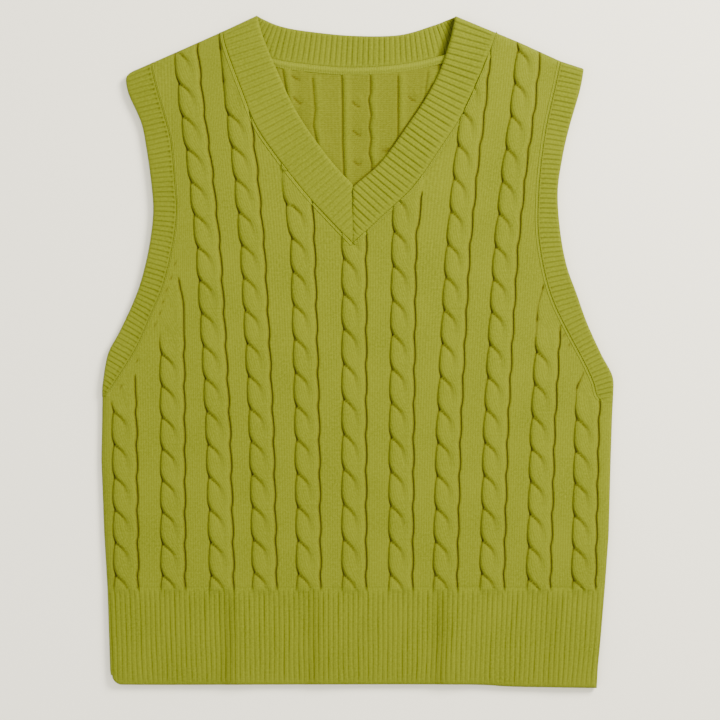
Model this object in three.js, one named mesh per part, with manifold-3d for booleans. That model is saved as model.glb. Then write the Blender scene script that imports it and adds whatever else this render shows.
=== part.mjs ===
// Knitted cable vest with a V-neck, laid flat with its front up.
// Millimetres. X runs across the body, Y from the hem to the neck, and Z up from the surface it lies on.
// The origin is on that surface, under the middle of the vest.

import * as THREE from 'three';
import { mergeVertices } from 'three/addons/utils/BufferGeometryUtils.js';
import Module from 'manifold-3d';

const wasm = await Module();
wasm.setup();

// Layers. The back lies on the surface, and the front lies on the back.
const GAP = 0.3;
const BACK_WALL = 3.0;
const FRONT_LOW = BACK_WALL + GAP;
const PLAIN_WALL = 3.0;
const TOTAL_HEIGHT = 8.7;
const MITRE_X = -4;

// The folded edges. The back curls up to the side seam, and the front rolls down to it.
const BACK_CURL = 3.0;
const FRONT_ROLL = { across: 8, down: 5.4 };
const BACK_MARGIN = 0.3;
const FRONT_MARGIN = 3.5;

// Side seams, from the hem's lower edge to the underarm
const SIDES = [
  { y: -290.0, left: -211.0, right: 206.2 },
  { y: -273.5, left: -213.2, right: 207.0 },
  { y: -247.5, left: -214.0, right: 209.5 },
  { y: -203.0, left: -215.5, right: 213.2 },
  { y: -157.5, left: -218.2, right: 216.5 },
  { y: -93.0, left: -220.7, right: 218.2 },
  { y: -54.0, left: -220.0, right: 219.5 },
  { y: -37.0, left: -219.8, right: 220.4 },
];

// Shoulder seams, from the armhole to the neck
const LEFT_SHOULDER = [
  { x: -197.5, y: 240.0 },
  { x: -178.5, y: 248.5 },
  { x: -149.0, y: 261.5 },
  { x: -116.5, y: 276.0 },
  { x: -86.5, y: 290.0 },
];
const RIGHT_SHOULDER = [
  { x: 195.0, y: 244.0 },
  { x: 175.0, y: 250.5 },
  { x: 140.0, y: 266.5 },
  { x: 119.5, y: 275.0 },
  { x: 84.5, y: 289.5 },
];

// Each band has a row for a rib line across it, from its seam to its free edge.
const LEFT_ARMHOLE = [
  { seamX: -178.5, seamY: 248.5, edgeX: -197.5, edgeY: 240.0 },
  { seamX: -174.0, seamY: 229.5, edgeX: -196.5, edgeY: 223.5 },
  { seamX: -166.5, seamY: 203.0, edgeX: -186.5, edgeY: 198.0 },
  { seamX: -161.0, seamY: 181.5, edgeX: -182.0, edgeY: 176.5 },
  { seamX: -157.5, seamY: 146.0, edgeX: -177.5, edgeY: 144.5 },
  { seamX: -156.0, seamY: 118.5, edgeX: -176.0, edgeY: 119.5 },
  { seamX: -160.5, seamY: 86.0, edgeX: -179.5, edgeY: 90.5 },
  { seamX: -168.5, seamY: 55.0, edgeX: -186.5, edgeY: 61.0 },
  { seamX: -179.5, seamY: 29.0, edgeX: -195.0, edgeY: 38.5 },
  { seamX: -189.0, seamY: 7.0, edgeX: -205.5, edgeY: 16.5 },
  { seamX: -199.5, seamY: -11.0, edgeX: -215.0, edgeY: -2.0 },
  { seamX: -213.0, seamY: -32.0, edgeX: -219.5, edgeY: -28.0 },
];
const RIGHT_ARMHOLE = [
  { seamX: 175.0, seamY: 250.5, edgeX: 195.0, edgeY: 244.0 },
  { seamX: 170.5, seamY: 229.5, edgeX: 191.5, edgeY: 225.0 },
  { seamX: 163.0, seamY: 196.0, edgeX: 182.0, edgeY: 192.0 },
  { seamX: 158.5, seamY: 166.0, edgeX: 176.0, edgeY: 164.5 },
  { seamX: 156.0, seamY: 138.5, edgeX: 172.5, edgeY: 137.5 },
  { seamX: 155.5, seamY: 105.0, edgeX: 174.5, edgeY: 105.0 },
  { seamX: 160.5, seamY: 71.5, edgeX: 180.0, edgeY: 75.0 },
  { seamX: 168.5, seamY: 44.0, edgeX: 189.0, edgeY: 49.5 },
  { seamX: 181.5, seamY: 17.0, edgeX: 197.5, edgeY: 25.5 },
  { seamX: 195.0, seamY: -8.5, edgeX: 209.5, edgeY: -1.0 },
  { seamX: 203.0, seamY: -26.0, edgeX: 219.5, edgeY: -20.5 },
  { seamX: 206.5, seamY: -38.5, edgeX: 220.3, edgeY: -36.0 },
];

// The front neckband's two halves run on past the mitre, where they are cut off.
const NECK_LEFT = [
  { seamX: -116.5, seamY: 276.0, edgeX: -86.5, edgeY: 290.0 },
  { seamX: -113.0, seamY: 260.5, edgeX: -81.0, edgeY: 270.5 },
  { seamX: -100.0, seamY: 225.5, edgeX: -67.5, edgeY: 238.5 },
  { seamX: -87.5, seamY: 195.0, edgeX: -55.0, edgeY: 211.5 },
  { seamX: -69.0, seamY: 167.5, edgeX: -39.5, edgeY: 187.0 },
  { seamX: -47.5, seamY: 139.5, edgeX: -20.5, edgeY: 162.0 },
  { seamX: -27.0, seamY: 117.0, edgeX: -1.0, edgeY: 141.0 },
  { seamX: -5.0, seamY: 94.0, edgeX: 21.0, edgeY: 117.5 },
  { seamX: 8.0, seamY: 80.0, edgeX: 34.0, edgeY: 103.5 },
];
const NECK_RIGHT = [
  { seamX: 119.5, seamY: 275.0, edgeX: 84.5, edgeY: 289.5 },
  { seamX: 113.5, seamY: 258.0, edgeX: 79.0, edgeY: 266.5 },
  { seamX: 102.0, seamY: 230.0, edgeX: 70.5, edgeY: 241.5 },
  { seamX: 88.5, seamY: 202.0, edgeX: 58.5, edgeY: 218.5 },
  { seamX: 70.5, seamY: 174.5, edgeX: 42.5, edgeY: 194.5 },
  { seamX: 48.0, seamY: 142.0, edgeX: 20.0, edgeY: 163.5 },
  { seamX: 23.5, seamY: 119.0, edgeX: -3.0, edgeY: 143.0 },
  { seamX: -4.5, seamY: 93.0, edgeX: -31.0, edgeY: 117.0 },
  { seamX: -17.0, seamY: 81.0, edgeX: -43.5, edgeY: 105.0 },
];
const NECK_BACK = [
  { seamX: -116.5, seamY: 276.0, edgeX: -86.5, edgeY: 290.0 },
  { seamX: -97.0, seamY: 262.5, edgeX: -79.5, edgeY: 286.3 },
  { seamX: -74.0, seamY: 253.0, edgeX: -66.0, edgeY: 281.0 },
  { seamX: -49.5, seamY: 248.5, edgeX: -45.0, edgeY: 277.0 },
  { seamX: -6.5, seamY: 245.0, edgeX: -5.0, edgeY: 273.0 },
  { seamX: 36.5, seamY: 247.5, edgeX: 35.5, edgeY: 273.5 },
  { seamX: 72.0, seamY: 255.0, edgeX: 64.5, edgeY: 281.5 },
  { seamX: 97.0, seamY: 264.0, edgeX: 77.0, edgeY: 286.3 },
  { seamX: 119.5, seamY: 275.0, edgeX: 84.5, edgeY: 289.5 },
];
const HEM_TOP = -203;
const HEM = [
  { seamX: -222.0, seamY: HEM_TOP, edgeX: -217.5, edgeY: -284.5 },
  { seamX: -205.0, seamY: HEM_TOP, edgeX: -201.5, edgeY: -286.5 },
  { seamX: -100.0, seamY: HEM_TOP, edgeX: -98.5, edgeY: -286.5 },
  { seamX: 0.0, seamY: HEM_TOP, edgeX: 0.0, edgeY: -286.3 },
  { seamX: 100.0, seamY: HEM_TOP, edgeX: 97.5, edgeY: -286.5 },
  { seamX: 140.0, seamY: HEM_TOP, edgeX: 136.0, edgeY: -288.3 },
  { seamX: 220.0, seamY: HEM_TOP, edgeX: 213.0, edgeY: -289.5 },
];

// Ribbing. A rib's profile runs from one furrow to the next.
const WIDE_RIB = [
  { along: 0, rise: 2.2 },
  { along: 0.32, rise: 3.5 },
  { along: 0.68, rise: 3.5 },
];
const FINE_RIB = [
  { along: 0, rise: 2.3 },
  { along: 0.5, rise: 3.5 },
];
const BACK_NECK_RIB = [
  { along: 0, rise: 2.0 },
  { along: 0.5, rise: 3.0 },
];
const RIB_PITCH = { neck: 5.6, backNeck: 5.6, armhole: 4.25, hem: 4.45 };
const FREE_EDGE = { width: 2.4, height: 0.5 };
const UNDERSIDE_STEP = 11;
const FOLD = { width: 3, from: 0.2, to: 0.85, overlap: 1 };

const BAND_STEPS = 36;

// Soft buckles that the hem's ribbing has sprung into
const HEM_BUCKLES = [
  { x: -109, halfWidth: 17, lift: 1.5 },
  { x: -36, halfWidth: 15, lift: 1.1 },
  { x: 72, halfWidth: 18, lift: 1.6 },
];

// Cables. Each leans outwards up the body by its share of the splay, and the outermost ones end
// at the armholes.
const CABLES = [
  { x: -199.0, lean: -0.5, period: 28.1, top: -44 },
  { x: -158.0, lean: -0.3, period: 28.1, top: 60 },
  { x: -118.0, lean: -1.0, period: 28.2, top: 300 },
  { x: -80.0, lean: -0.9, period: 28.4, top: 300 },
  { x: -42.0, lean: -0.45, period: 29.0, top: 300 },
  { x: -3.0, lean: 0, period: 29.8, top: 300 },
  { x: 37.0, lean: 0.5, period: 29.0, top: 300 },
  { x: 76.0, lean: 0.95, period: 28.4, top: 300 },
  { x: 115.5, lean: 1.0, period: 28.1, top: 300 },
  { x: 153.0, lean: 1.1, period: 28.0, top: 52 },
  { x: 191.5, lean: 0.8, period: 28.0, top: -16 },
];
const CABLE_END = 7;
const SPLAY = [
  { y: -187, out: 0 },
  { y: -67, out: 3.0 },
  { y: 2, out: 6.5 },
  { y: 88, out: 11.5 },
  { y: 157, out: 18.5 },
  { y: 208, out: 25.5 },
  { y: 330, out: 38.0 },
];
const FIRST_CROSSING_Y = -192;
const PANEL_GRID = { left: -240, right: 240, low: -222, high: 330, turns: 18 };

// Across a cable: the panel's edge, the groove, three lines over the two strands, and back.
const GROOVE = { at: 10.2, lip: 1.9, depth: 1.5, rightPinch: -0.35 };
const STRAND_LINE = 5.4;
const CABLE_ROOM = 26;

// Along one turn, from a crossing up: the heights of the strands above the plain panel, and how
// far the left groove is pulled in. Below a crossing the crease runs from the left groove to the
// middle, and from there up it fades.
const TURN = [
  { left: 0.9, middle: 1.9, right: 1.5, pinch: 2.0 },
  { left: 1.8, middle: 1.3, right: 1.5, pinch: 0.5 },
  { left: 1.8, middle: 0.6, right: 1.7, pinch: -0.8 },
  { left: 1.2, middle: 0.3, right: 1.9, pinch: -0.2 },
];

// Furrows beside the cables' reverse, on the inside of the back, where the neck shows them
const BACK_FURROWS = [-83, -38, -13, 11, 35, 60, 86];
const FURROW = { width: 2.4, depth: 1.0, low: 60, high: 262 };

const YARN = 0xa3a23c;

function lerpTable(table, key, value, at) {
  const last = table.length - 1;
  let i = 0;
  while (i < last - 1 && at > table[i + 1][key]) i += 1;
  const a = table[i];
  const b = table[i + 1];
  return a[value] + ((b[value] - a[value]) * (at - a[key])) / (b[key] - a[key]);
}

function curveThrough(points, steps) {
  const curve = new THREE.SplineCurve(points.map((p) => new THREE.Vector2(p.x, p.y)));
  return curve.getSpacedPoints(steps);
}

// A band's rib lines at any distance along its middle
class BandPath {
  constructor(rows) {
    this.seam = new THREE.SplineCurve(rows.map((r) => new THREE.Vector2(r.seamX, r.seamY)));
    this.edge = new THREE.SplineCurve(rows.map((r) => new THREE.Vector2(r.edgeX, r.edgeY)));
    this.marks = [0];
    this.steps = 40 * (rows.length - 1);
    let before = this.middle(0);
    for (let i = 1; i <= this.steps; i += 1) {
      const here = this.middle(i / this.steps);
      this.marks.push(this.marks[i - 1] + here.distanceTo(before));
      before = here;
    }
    this.length = this.marks[this.steps];
  }

  middle(t) {
    return this.seam.getPoint(t).lerp(this.edge.getPoint(t), 0.5);
  }

  at(distance) {
    let i = 1;
    while (i < this.steps && this.marks[i] < distance) i += 1;
    const share = (distance - this.marks[i - 1]) / (this.marks[i] - this.marks[i - 1]);
    const t = THREE.MathUtils.clamp((i - 1 + share) / this.steps, 0, 1);
    return { seam: this.seam.getPoint(t), edge: this.edge.getPoint(t) };
  }

  seamPoints(count) {
    return Array.from({ length: count + 1 }, (_, i) => this.at((this.length * i) / count).seam);
  }

  edgePoints(count) {
    return Array.from({ length: count + 1 }, (_, i) => this.at((this.length * i) / count).edge);
  }
}

// Collects points and triangles, and gives a solid with its faces pointing out
class Shell {
  constructor() {
    this.points = [];
    this.triangles = [];
  }

  point(x, y, z) {
    this.points.push(x, y, z);
    return this.points.length / 3 - 1;
  }

  triangle(a, b, c) {
    this.triangles.push(a, b, c);
  }

  quad(a, b, c, d) {
    this.triangle(a, b, c);
    this.triangle(a, c, d);
  }

  // Joins a fine line of points to the two ends of a straight one below it
  wall(upper, lowA, lowB) {
    for (let i = 0; i + 1 < upper.length; i += 1) this.triangle(upper[i + 1], upper[i], lowA);
    this.triangle(upper[upper.length - 1], lowA, lowB);
  }

  solid() {
    const vertProperties = new Float32Array(this.points);
    const triVerts = new Uint32Array(this.triangles);
    if (signedVolume(vertProperties, triVerts) < 0) {
      for (let i = 0; i < triVerts.length; i += 3) {
        [triVerts[i + 1], triVerts[i + 2]] = [triVerts[i + 2], triVerts[i + 1]];
      }
    }
    return new wasm.Manifold(new wasm.Mesh({ numProp: 3, vertProperties, triVerts }));
  }
}

function signedVolume(points, triangles) {
  const corner = (i) => new THREE.Vector3().fromArray(points, 3 * triangles[i]);
  let volume = 0;
  for (let i = 0; i < triangles.length; i += 3) {
    volume += corner(i).dot(corner(i + 1).cross(corner(i + 2))) / 6;
  }
  return volume;
}

function toSolid(geometry) {
  geometry.deleteAttribute('normal');
  geometry.deleteAttribute('uv');
  const merged = mergeVertices(geometry, 1e-4);
  return new wasm.Manifold(new wasm.Mesh({
    numProp: 3,
    vertProperties: new Float32Array(merged.attributes.position.array),
    triVerts: new Uint32Array(merged.index.array),
  }));
}

function toMesh(name, solid) {
  const mesh = solid.getMesh();
  const geometry = new THREE.BufferGeometry();
  geometry.setAttribute('position', new THREE.BufferAttribute(mesh.vertProperties, 3));
  geometry.setIndex(new THREE.BufferAttribute(mesh.triVerts, 1));
  geometry.computeVertexNormals();
  const yarn = new THREE.MeshStandardMaterial({ color: YARN, roughness: 0.95, metalness: 0 });
  const result = new THREE.Mesh(geometry, yarn);
  result.name = name;
  return result;
}

function prism(points, low, high) {
  const geometry = new THREE.ExtrudeGeometry(new THREE.Shape(points), {
    depth: high - low,
    bevelEnabled: false,
  });
  return toSolid(geometry.translate(0, 0, low));
}

// A stack that is rounded off at its lower and upper rims
function roundedPrism(points, low, high, across, down, segments) {
  const geometry = new THREE.ExtrudeGeometry(new THREE.Shape(points), {
    depth: high - low - 2 * down,
    bevelThickness: down,
    bevelSize: across,
    bevelOffset: -across,
    bevelSegments: segments,
  });
  return toSolid(geometry.translate(0, 0, low + down));
}

// The vest's outline, with the bands' free edges let out by the margin
function outline(margin) {
  const side = (key) => curveThrough(SIDES.map((row) => ({ x: row[key], y: row.y })), 22);
  const down = new THREE.Vector2(0, -margin);
  const up = new THREE.Vector2(0, margin);
  const left = new THREE.Vector2(-margin, 0);
  const right = new THREE.Vector2(margin, 0);
  const hemRight = HEM[HEM.length - 1];
  const corner = {
    left: new THREE.Vector2(SIDES[0].left, HEM[1].edgeY - margin),
    right: new THREE.Vector2(SIDES[0].right, hemRight.edgeY - margin),
  };
  const hemEdge = new BandPath(HEM).edgePoints(12).slice(1, -1).map((p) => p.clone().add(down));
  const rightArm = new BandPath(RIGHT_ARMHOLE).edgePoints(26).slice(1, -1).reverse();
  const leftArm = new BandPath(LEFT_ARMHOLE).edgePoints(26).slice(1, -1);
  const backNeck = new BandPath(NECK_BACK).edgePoints(20).slice(1, -1).reverse();
  return [
    corner.left,
    ...hemEdge,
    corner.right,
    ...side('right').slice(2),
    ...rightArm.map((p) => p.clone().add(right)),
    ...RIGHT_SHOULDER.map((p, i) => new THREE.Vector2(p.x + (i ? 0 : margin), p.y)),
    ...backNeck.map((p) => p.clone().add(up)),
    ...LEFT_SHOULDER.map((p, i) => new THREE.Vector2(p.x - (i ? 0 : margin), p.y)).reverse(),
    ...leftArm.map((p) => p.clone().add(left)),
    ...side('left').slice(2).reverse(),
  ];
}

function envelope() {
  const far = 30;
  const curl = roundedPrism(outline(BACK_MARGIN), 0, far, BACK_CURL, BACK_CURL, 2);
  const roll = roundedPrism(
    outline(FRONT_MARGIN), -far, TOTAL_HEIGHT, FRONT_ROLL.across, FRONT_ROLL.down, 3);
  return curl.intersect(roll);
}

function hemLift(x) {
  let lift = 0;
  for (const buckle of HEM_BUCKLES) {
    const off = Math.abs(x - buckle.x) / buckle.halfWidth;
    if (off < 1) lift += buckle.lift * 0.5 * (1 + Math.cos(Math.PI * off));
  }
  return lift;
}

// A strip of ribbing over a plain underside. The ribs run across it.
function ribBand(rows, profile, pitch, low, lift = () => 0) {
  const path = new BandPath(rows);
  const ribs = Math.round(path.length / pitch);
  const step = (path.length - GAP) / ribs;
  const perUnderside = Math.round(UNDERSIDE_STEP / pitch) * profile.length;
  const shell = new Shell();
  const top = [];
  const under = [];
  for (let i = 0; i <= ribs * profile.length; i += 1) {
    const part = profile[i % profile.length];
    const distance = (Math.floor(i / profile.length) + part.along) * step;
    const line = path.at(distance);
    const across = line.edge.clone().sub(line.seam).normalize();
    const seam = line.seam.clone().addScaledVector(across, GAP);
    const shoulder = line.edge.clone().addScaledVector(across, -FREE_EDGE.width);
    const base = low + lift(line.seam.x);
    top.push([
      shell.point(seam.x, seam.y, base + part.rise),
      shell.point(shoulder.x, shoulder.y, base + part.rise),
      shell.point(line.edge.x, line.edge.y, base + part.rise * FREE_EDGE.height),
    ]);
    if (i % perUnderside === 0 || i === ribs * profile.length) {
      under.push({
        station: i,
        seam: shell.point(seam.x, seam.y, base),
        edge: shell.point(line.edge.x, line.edge.y, base),
      });
    }
  }
  for (let i = 0; i + 1 < top.length; i += 1) {
    const [a, b] = [top[i], top[i + 1]];
    shell.quad(a[0], a[1], b[1], b[0]);
    shell.quad(a[1], a[2], b[2], b[1]);
  }
  for (let i = 0; i + 1 < under.length; i += 1) {
    const [a, b] = [under[i], under[i + 1]];
    const between = top.slice(a.station, b.station + 1);
    shell.quad(a.seam, b.seam, b.edge, a.edge);
    shell.wall(between.map((line) => line[0]).reverse(), b.seam, a.seam);
    shell.wall(between.map((line) => line[2]), a.edge, b.edge);
  }
  const first = top[0];
  const last = top[top.length - 1];
  const start = under[0];
  const end = under[under.length - 1];
  shell.quad(first[0], start.seam, start.edge, first[1]);
  shell.triangle(first[1], start.edge, first[2]);
  shell.quad(end.seam, last[0], last[1], end.edge);
  shell.triangle(last[1], last[2], end.edge);
  return shell.solid();
}

// The same strip without ribs, for a half that lies underneath
function plainBand(rows, low, high) {
  const path = new BandPath(rows);
  const seam = [];
  const edge = [];
  for (let i = 0; i <= BAND_STEPS; i += 1) {
    const line = path.at(((path.length - GAP) * i) / BAND_STEPS);
    const across = line.edge.clone().sub(line.seam).normalize();
    seam.push(line.seam.addScaledVector(across, GAP));
    edge.push(line.edge);
  }
  return prism([...seam, ...edge.reverse()], low, high);
}

// Joins a band's upper and lower halves along the line where it folds over
function foldBridge(line, towards) {
  const along = new THREE.Vector2(line.edgeX - line.seamX, line.edgeY - line.seamY);
  const start = new THREE.Vector2(line.seamX, line.seamY);
  const seam = start.clone().addScaledVector(along, FOLD.from);
  const edge = start.clone().addScaledVector(along, FOLD.to);
  const inwards = towards.clone().sub(seam).normalize().multiplyScalar(FOLD.width);
  const corners = [seam, edge, edge.clone().add(inwards), seam.clone().add(inwards)];
  return prism(corners, BACK_WALL - FOLD.overlap, FRONT_LOW + FOLD.overlap);
}

function rowPoint(row) {
  return new THREE.Vector2((row.seamX + row.edgeX) / 2, (row.seamY + row.edgeY) / 2);
}

// A cable's middle at a height. The outermost one gives way to the one inside it.
function cableX(index, y) {
  const cable = CABLES[index];
  const x = cable.x + cable.lean * lerpTable(SPLAY, 'y', 'out', y);
  return index < 2 ? Math.min(x, cableX(index + 1, y) - CABLE_ROOM) : x;
}

// The front as one knitted piece before it is cut: a plain underside and the cables on top
function cableCloth() {
  const grid = PANEL_GRID;
  const plain = FRONT_LOW + PLAIN_WALL;
  const shell = new Shell();
  const rowCount = grid.turns * TURN.length;
  const rows = [];
  for (let r = -1; r <= rowCount; r += 1) {
    const turn = TURN[(r + TURN.length) % TURN.length];
    const outside = r < 0 || r === rowCount;
    const edgeY = r < 0 ? grid.low : grid.high;
    const line = [];
    for (const [index, cable] of CABLES.entries()) {
      const knitY = FIRST_CROSSING_Y + (r * cable.period) / TURN.length;
      const y = outside ? edgeY : Math.min(knitY, grid.high - rowCount + r);
      const x = cableX(index, y);
      const left = x - GROOVE.at + turn.pinch;
      const right = x + GROOVE.at + GROOVE.rightPinch * turn.pinch;
      const full = THREE.MathUtils.clamp((cable.top - y) / CABLE_END, 0, 1);
      const heights = [
        [left - GROOVE.lip, 0], [left, -GROOVE.depth],
        [x - STRAND_LINE, turn.left], [x, turn.middle], [x + STRAND_LINE, turn.right],
        [right, -GROOVE.depth], [right + GROOVE.lip, 0],
      ];
      for (const [at, rise] of heights) line.push(shell.point(at, y, plain + full * rise));
    }
    const y = outside ? edgeY : THREE.MathUtils.lerp(grid.low, grid.high, (r + 1) / (rowCount + 1));
    line.unshift(shell.point(grid.left, y, plain));
    line.push(shell.point(grid.right, y, plain));
    rows.push(line);
  }
  const corner = {
    lowLeft: shell.point(grid.left, grid.low, FRONT_LOW),
    lowRight: shell.point(grid.right, grid.low, FRONT_LOW),
    highRight: shell.point(grid.right, grid.high, FRONT_LOW),
    highLeft: shell.point(grid.left, grid.high, FRONT_LOW),
  };
  for (let r = 0; r + 1 < rows.length; r += 1) {
    const [a, b] = [rows[r], rows[r + 1]];
    for (let c = 0; c + 1 < a.length; c += 1) shell.quad(b[c], a[c], a[c + 1], b[c + 1]);
  }
  const end = rows[0].length - 1;
  shell.wall(rows[0], corner.lowLeft, corner.lowRight);
  shell.wall(rows.map((line) => line[end]), corner.lowRight, corner.highRight);
  shell.wall(rows[rows.length - 1].slice().reverse(), corner.highRight, corner.highLeft);
  shell.wall(rows.map((line) => line[0]).reverse(), corner.highLeft, corner.lowLeft);
  shell.quad(corner.lowRight, corner.lowLeft, corner.highLeft, corner.highRight);
  return shell.solid();
}

// A panel's lower outline: the hem line, and both armhole seams up to the shoulders
function panelSides() {
  const beyond = 30;
  const rightEnd = RIGHT_ARMHOLE[RIGHT_ARMHOLE.length - 1];
  const leftEnd = LEFT_ARMHOLE[LEFT_ARMHOLE.length - 1];
  const right = [
    new THREE.Vector2(SIDES[3].left - beyond, HEM_TOP + GAP),
    new THREE.Vector2(SIDES[3].right + beyond, HEM_TOP + GAP),
    new THREE.Vector2(rightEnd.edgeX + beyond, rightEnd.edgeY + 2),
    new THREE.Vector2(rightEnd.edgeX, rightEnd.edgeY),
    ...new BandPath(RIGHT_ARMHOLE).seamPoints(BAND_STEPS).reverse(),
  ];
  const left = [
    ...new BandPath(LEFT_ARMHOLE).seamPoints(BAND_STEPS),
    new THREE.Vector2(leftEnd.edgeX, leftEnd.edgeY),
    new THREE.Vector2(leftEnd.edgeX - beyond, leftEnd.edgeY + 2),
  ];
  return { right, left };
}

function aboveShoulder(points) {
  return points.map((p) => new THREE.Vector2(p.x, p.y + 12));
}

// Where a half of the neckband's seam meets the mitre
function mitreTip(rows) {
  const seam = new BandPath(rows).seamPoints(400);
  return seam.reduce((a, b) => (Math.abs(b.x - MITRE_X) < Math.abs(a.x - MITRE_X) ? b : a)).y;
}

function frontOutline() {
  const { right, left } = panelSides();
  const rightNeck = new BandPath(NECK_RIGHT).seamPoints(BAND_STEPS).filter((p) => p.x > MITRE_X + 2);
  const leftNeck = new BandPath(NECK_LEFT).seamPoints(BAND_STEPS).filter((p) => p.x < MITRE_X - 2);
  const tip = new THREE.Vector2(MITRE_X, mitreTip(NECK_LEFT) - 2 * GAP);
  return [
    ...right,
    ...aboveShoulder([right[right.length - 1], rightNeck[0]]),
    ...rightNeck,
    tip,
    ...leftNeck.reverse(),
    ...aboveShoulder([leftNeck[leftNeck.length - 1], left[0]]),
    ...left,
  ];
}

function backOutline() {
  const { right, left } = panelSides();
  const neck = new BandPath(NECK_BACK).seamPoints(BAND_STEPS).reverse();
  return [
    ...right,
    ...aboveShoulder([right[right.length - 1], neck[0]]),
    ...neck,
    ...aboveShoulder([neck[neck.length - 1], left[0]]),
    ...left,
  ];
}

function frontPanel() {
  const cut = prism(frontOutline(), FRONT_LOW - 1, TOTAL_HEIGHT + 1);
  return cableCloth().intersect(cut).intersect(folded);
}

function backPanel() {
  let panel = prism(backOutline(), 0, BACK_WALL).intersect(folded);
  for (const x of BACK_FURROWS) {
    const section = [
      new THREE.Vector2(x - FURROW.width / 2, BACK_WALL + 0.4),
      new THREE.Vector2(x, BACK_WALL - FURROW.depth),
      new THREE.Vector2(x + FURROW.width / 2, BACK_WALL + 0.4),
    ];
    const geometry = new THREE.ExtrudeGeometry(new THREE.Shape(section), {
      depth: FURROW.high - FURROW.low,
      bevelEnabled: false,
    });
    geometry.rotateX(Math.PI / 2).translate(0, FURROW.high, 0);
    panel = panel.subtract(toSolid(geometry));
  }
  return panel;
}

function frontHem() {
  return ribBand(HEM, FINE_RIB, RIB_PITCH.hem, FRONT_LOW, hemLift).intersect(folded);
}

function backHem() {
  return plainBand(HEM, 0, BACK_WALL).intersect(folded);
}

function armband(rows) {
  const upper = ribBand(rows, FINE_RIB, RIB_PITCH.armhole, FRONT_LOW);
  const lower = plainBand(rows, 0, BACK_WALL);
  const top = foldBridge(rows[0], rowPoint(rows[1]));
  const end = rows.length - 1;
  const underarm = foldBridge(rows[end], rowPoint(rows[end - 1]));
  return upper.add(lower).add(top).add(underarm).intersect(folded);
}

function halfSpace(from, to) {
  return prism([
    new THREE.Vector2(from, 0), new THREE.Vector2(to, 0),
    new THREE.Vector2(to, 400), new THREE.Vector2(from, 400),
  ], 0, TOTAL_HEIGHT + 1);
}

function neckband() {
  const far = 300;
  const overlap = 0.15;
  const left = ribBand(NECK_LEFT, WIDE_RIB, RIB_PITCH.neck, FRONT_LOW)
    .intersect(halfSpace(-far, MITRE_X + overlap));
  const right = ribBand(NECK_RIGHT, WIDE_RIB, RIB_PITCH.neck, FRONT_LOW)
    .intersect(halfSpace(MITRE_X - overlap, far));
  const back = ribBand(NECK_BACK, BACK_NECK_RIB, RIB_PITCH.backNeck, 0);
  const leftFold = foldBridge(NECK_LEFT[0], rowPoint(NECK_LEFT[1]));
  const rightFold = foldBridge(NECK_RIGHT[0], rowPoint(NECK_RIGHT[1]));
  return left.add(right).add(back).add(leftFold).add(rightFold).intersect(folded);
}

const folded = envelope();
const panels = new THREE.Group();
panels.add(toMesh('front_panel', frontPanel()));
panels.add(toMesh('back_panel', backPanel()));
panels.add(toMesh('front_hem', frontHem()));
panels.add(toMesh('back_hem', backHem()));

const bands = new THREE.Group();
bands.add(toMesh('neckband', neckband()));
bands.add(toMesh('armband_left', armband(LEFT_ARMHOLE)));
bands.add(toMesh('armband_right', armband(RIGHT_ARMHOLE)));

const vest = new THREE.Group();
vest.add(panels, bands);

export default vest;
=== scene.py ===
"""Looks of a knitted cable vest with a V-neck, laid flat with its front up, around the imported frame.

Lengths in the tables and in the cloth maths are millimetres, and meshes are written in metres.
X runs across the body, Y from the hem to the neck and Z up from the surface that it lies on.
"""

import logging
import math
from dataclasses import dataclass
from enum import Enum
from typing import Callable, Iterable, Optional

import bpy
import bmesh
import numpy as np
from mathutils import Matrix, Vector

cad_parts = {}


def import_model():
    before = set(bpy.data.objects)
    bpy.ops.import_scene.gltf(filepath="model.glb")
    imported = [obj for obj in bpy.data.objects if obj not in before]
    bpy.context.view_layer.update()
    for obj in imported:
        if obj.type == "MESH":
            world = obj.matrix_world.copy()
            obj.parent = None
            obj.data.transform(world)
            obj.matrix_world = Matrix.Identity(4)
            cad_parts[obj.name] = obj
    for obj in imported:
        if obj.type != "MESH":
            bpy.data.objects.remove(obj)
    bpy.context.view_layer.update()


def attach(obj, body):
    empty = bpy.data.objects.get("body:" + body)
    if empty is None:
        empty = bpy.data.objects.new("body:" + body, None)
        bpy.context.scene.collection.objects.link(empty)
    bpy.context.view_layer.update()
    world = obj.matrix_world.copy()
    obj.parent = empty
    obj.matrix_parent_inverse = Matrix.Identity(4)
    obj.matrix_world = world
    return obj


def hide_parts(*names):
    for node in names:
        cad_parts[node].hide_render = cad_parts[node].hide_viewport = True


LOG = logging.getLogger("vest")
MM = 0.001
Rows = tuple[tuple[float, ...], ...]

# Layers, as in the part's source
BACK_TOP = 3.0
FRONT_LOW = 3.3
PLAIN_TOP = 6.3
FOLD_TOP = 3.45
MITRE_X = -4.0
HEM_TOP = -203.0

# Side seams: y, left x, right x
SIDES: Rows = (
    (-290.0, -211.0, 206.2),
    (-273.5, -213.2, 207.0),
    (-247.5, -214.0, 209.5),
    (-203.0, -215.5, 213.2),
    (-157.5, -218.2, 216.5),
    (-93.0, -220.7, 218.2),
    (-54.0, -220.0, 219.5),
    (-37.0, -219.8, 220.4),
)
# Shoulder seams: x, y
LEFT_SHOULDER: Rows = (
    (-197.5, 240.0),
    (-178.5, 248.5),
    (-149.0, 261.5),
    (-116.5, 276.0),
    (-86.5, 290.0),
)
RIGHT_SHOULDER: Rows = (
    (195.0, 244.0),
    (175.0, 250.5),
    (140.0, 266.5),
    (119.5, 275.0),
    (84.5, 289.5),
)
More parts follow.
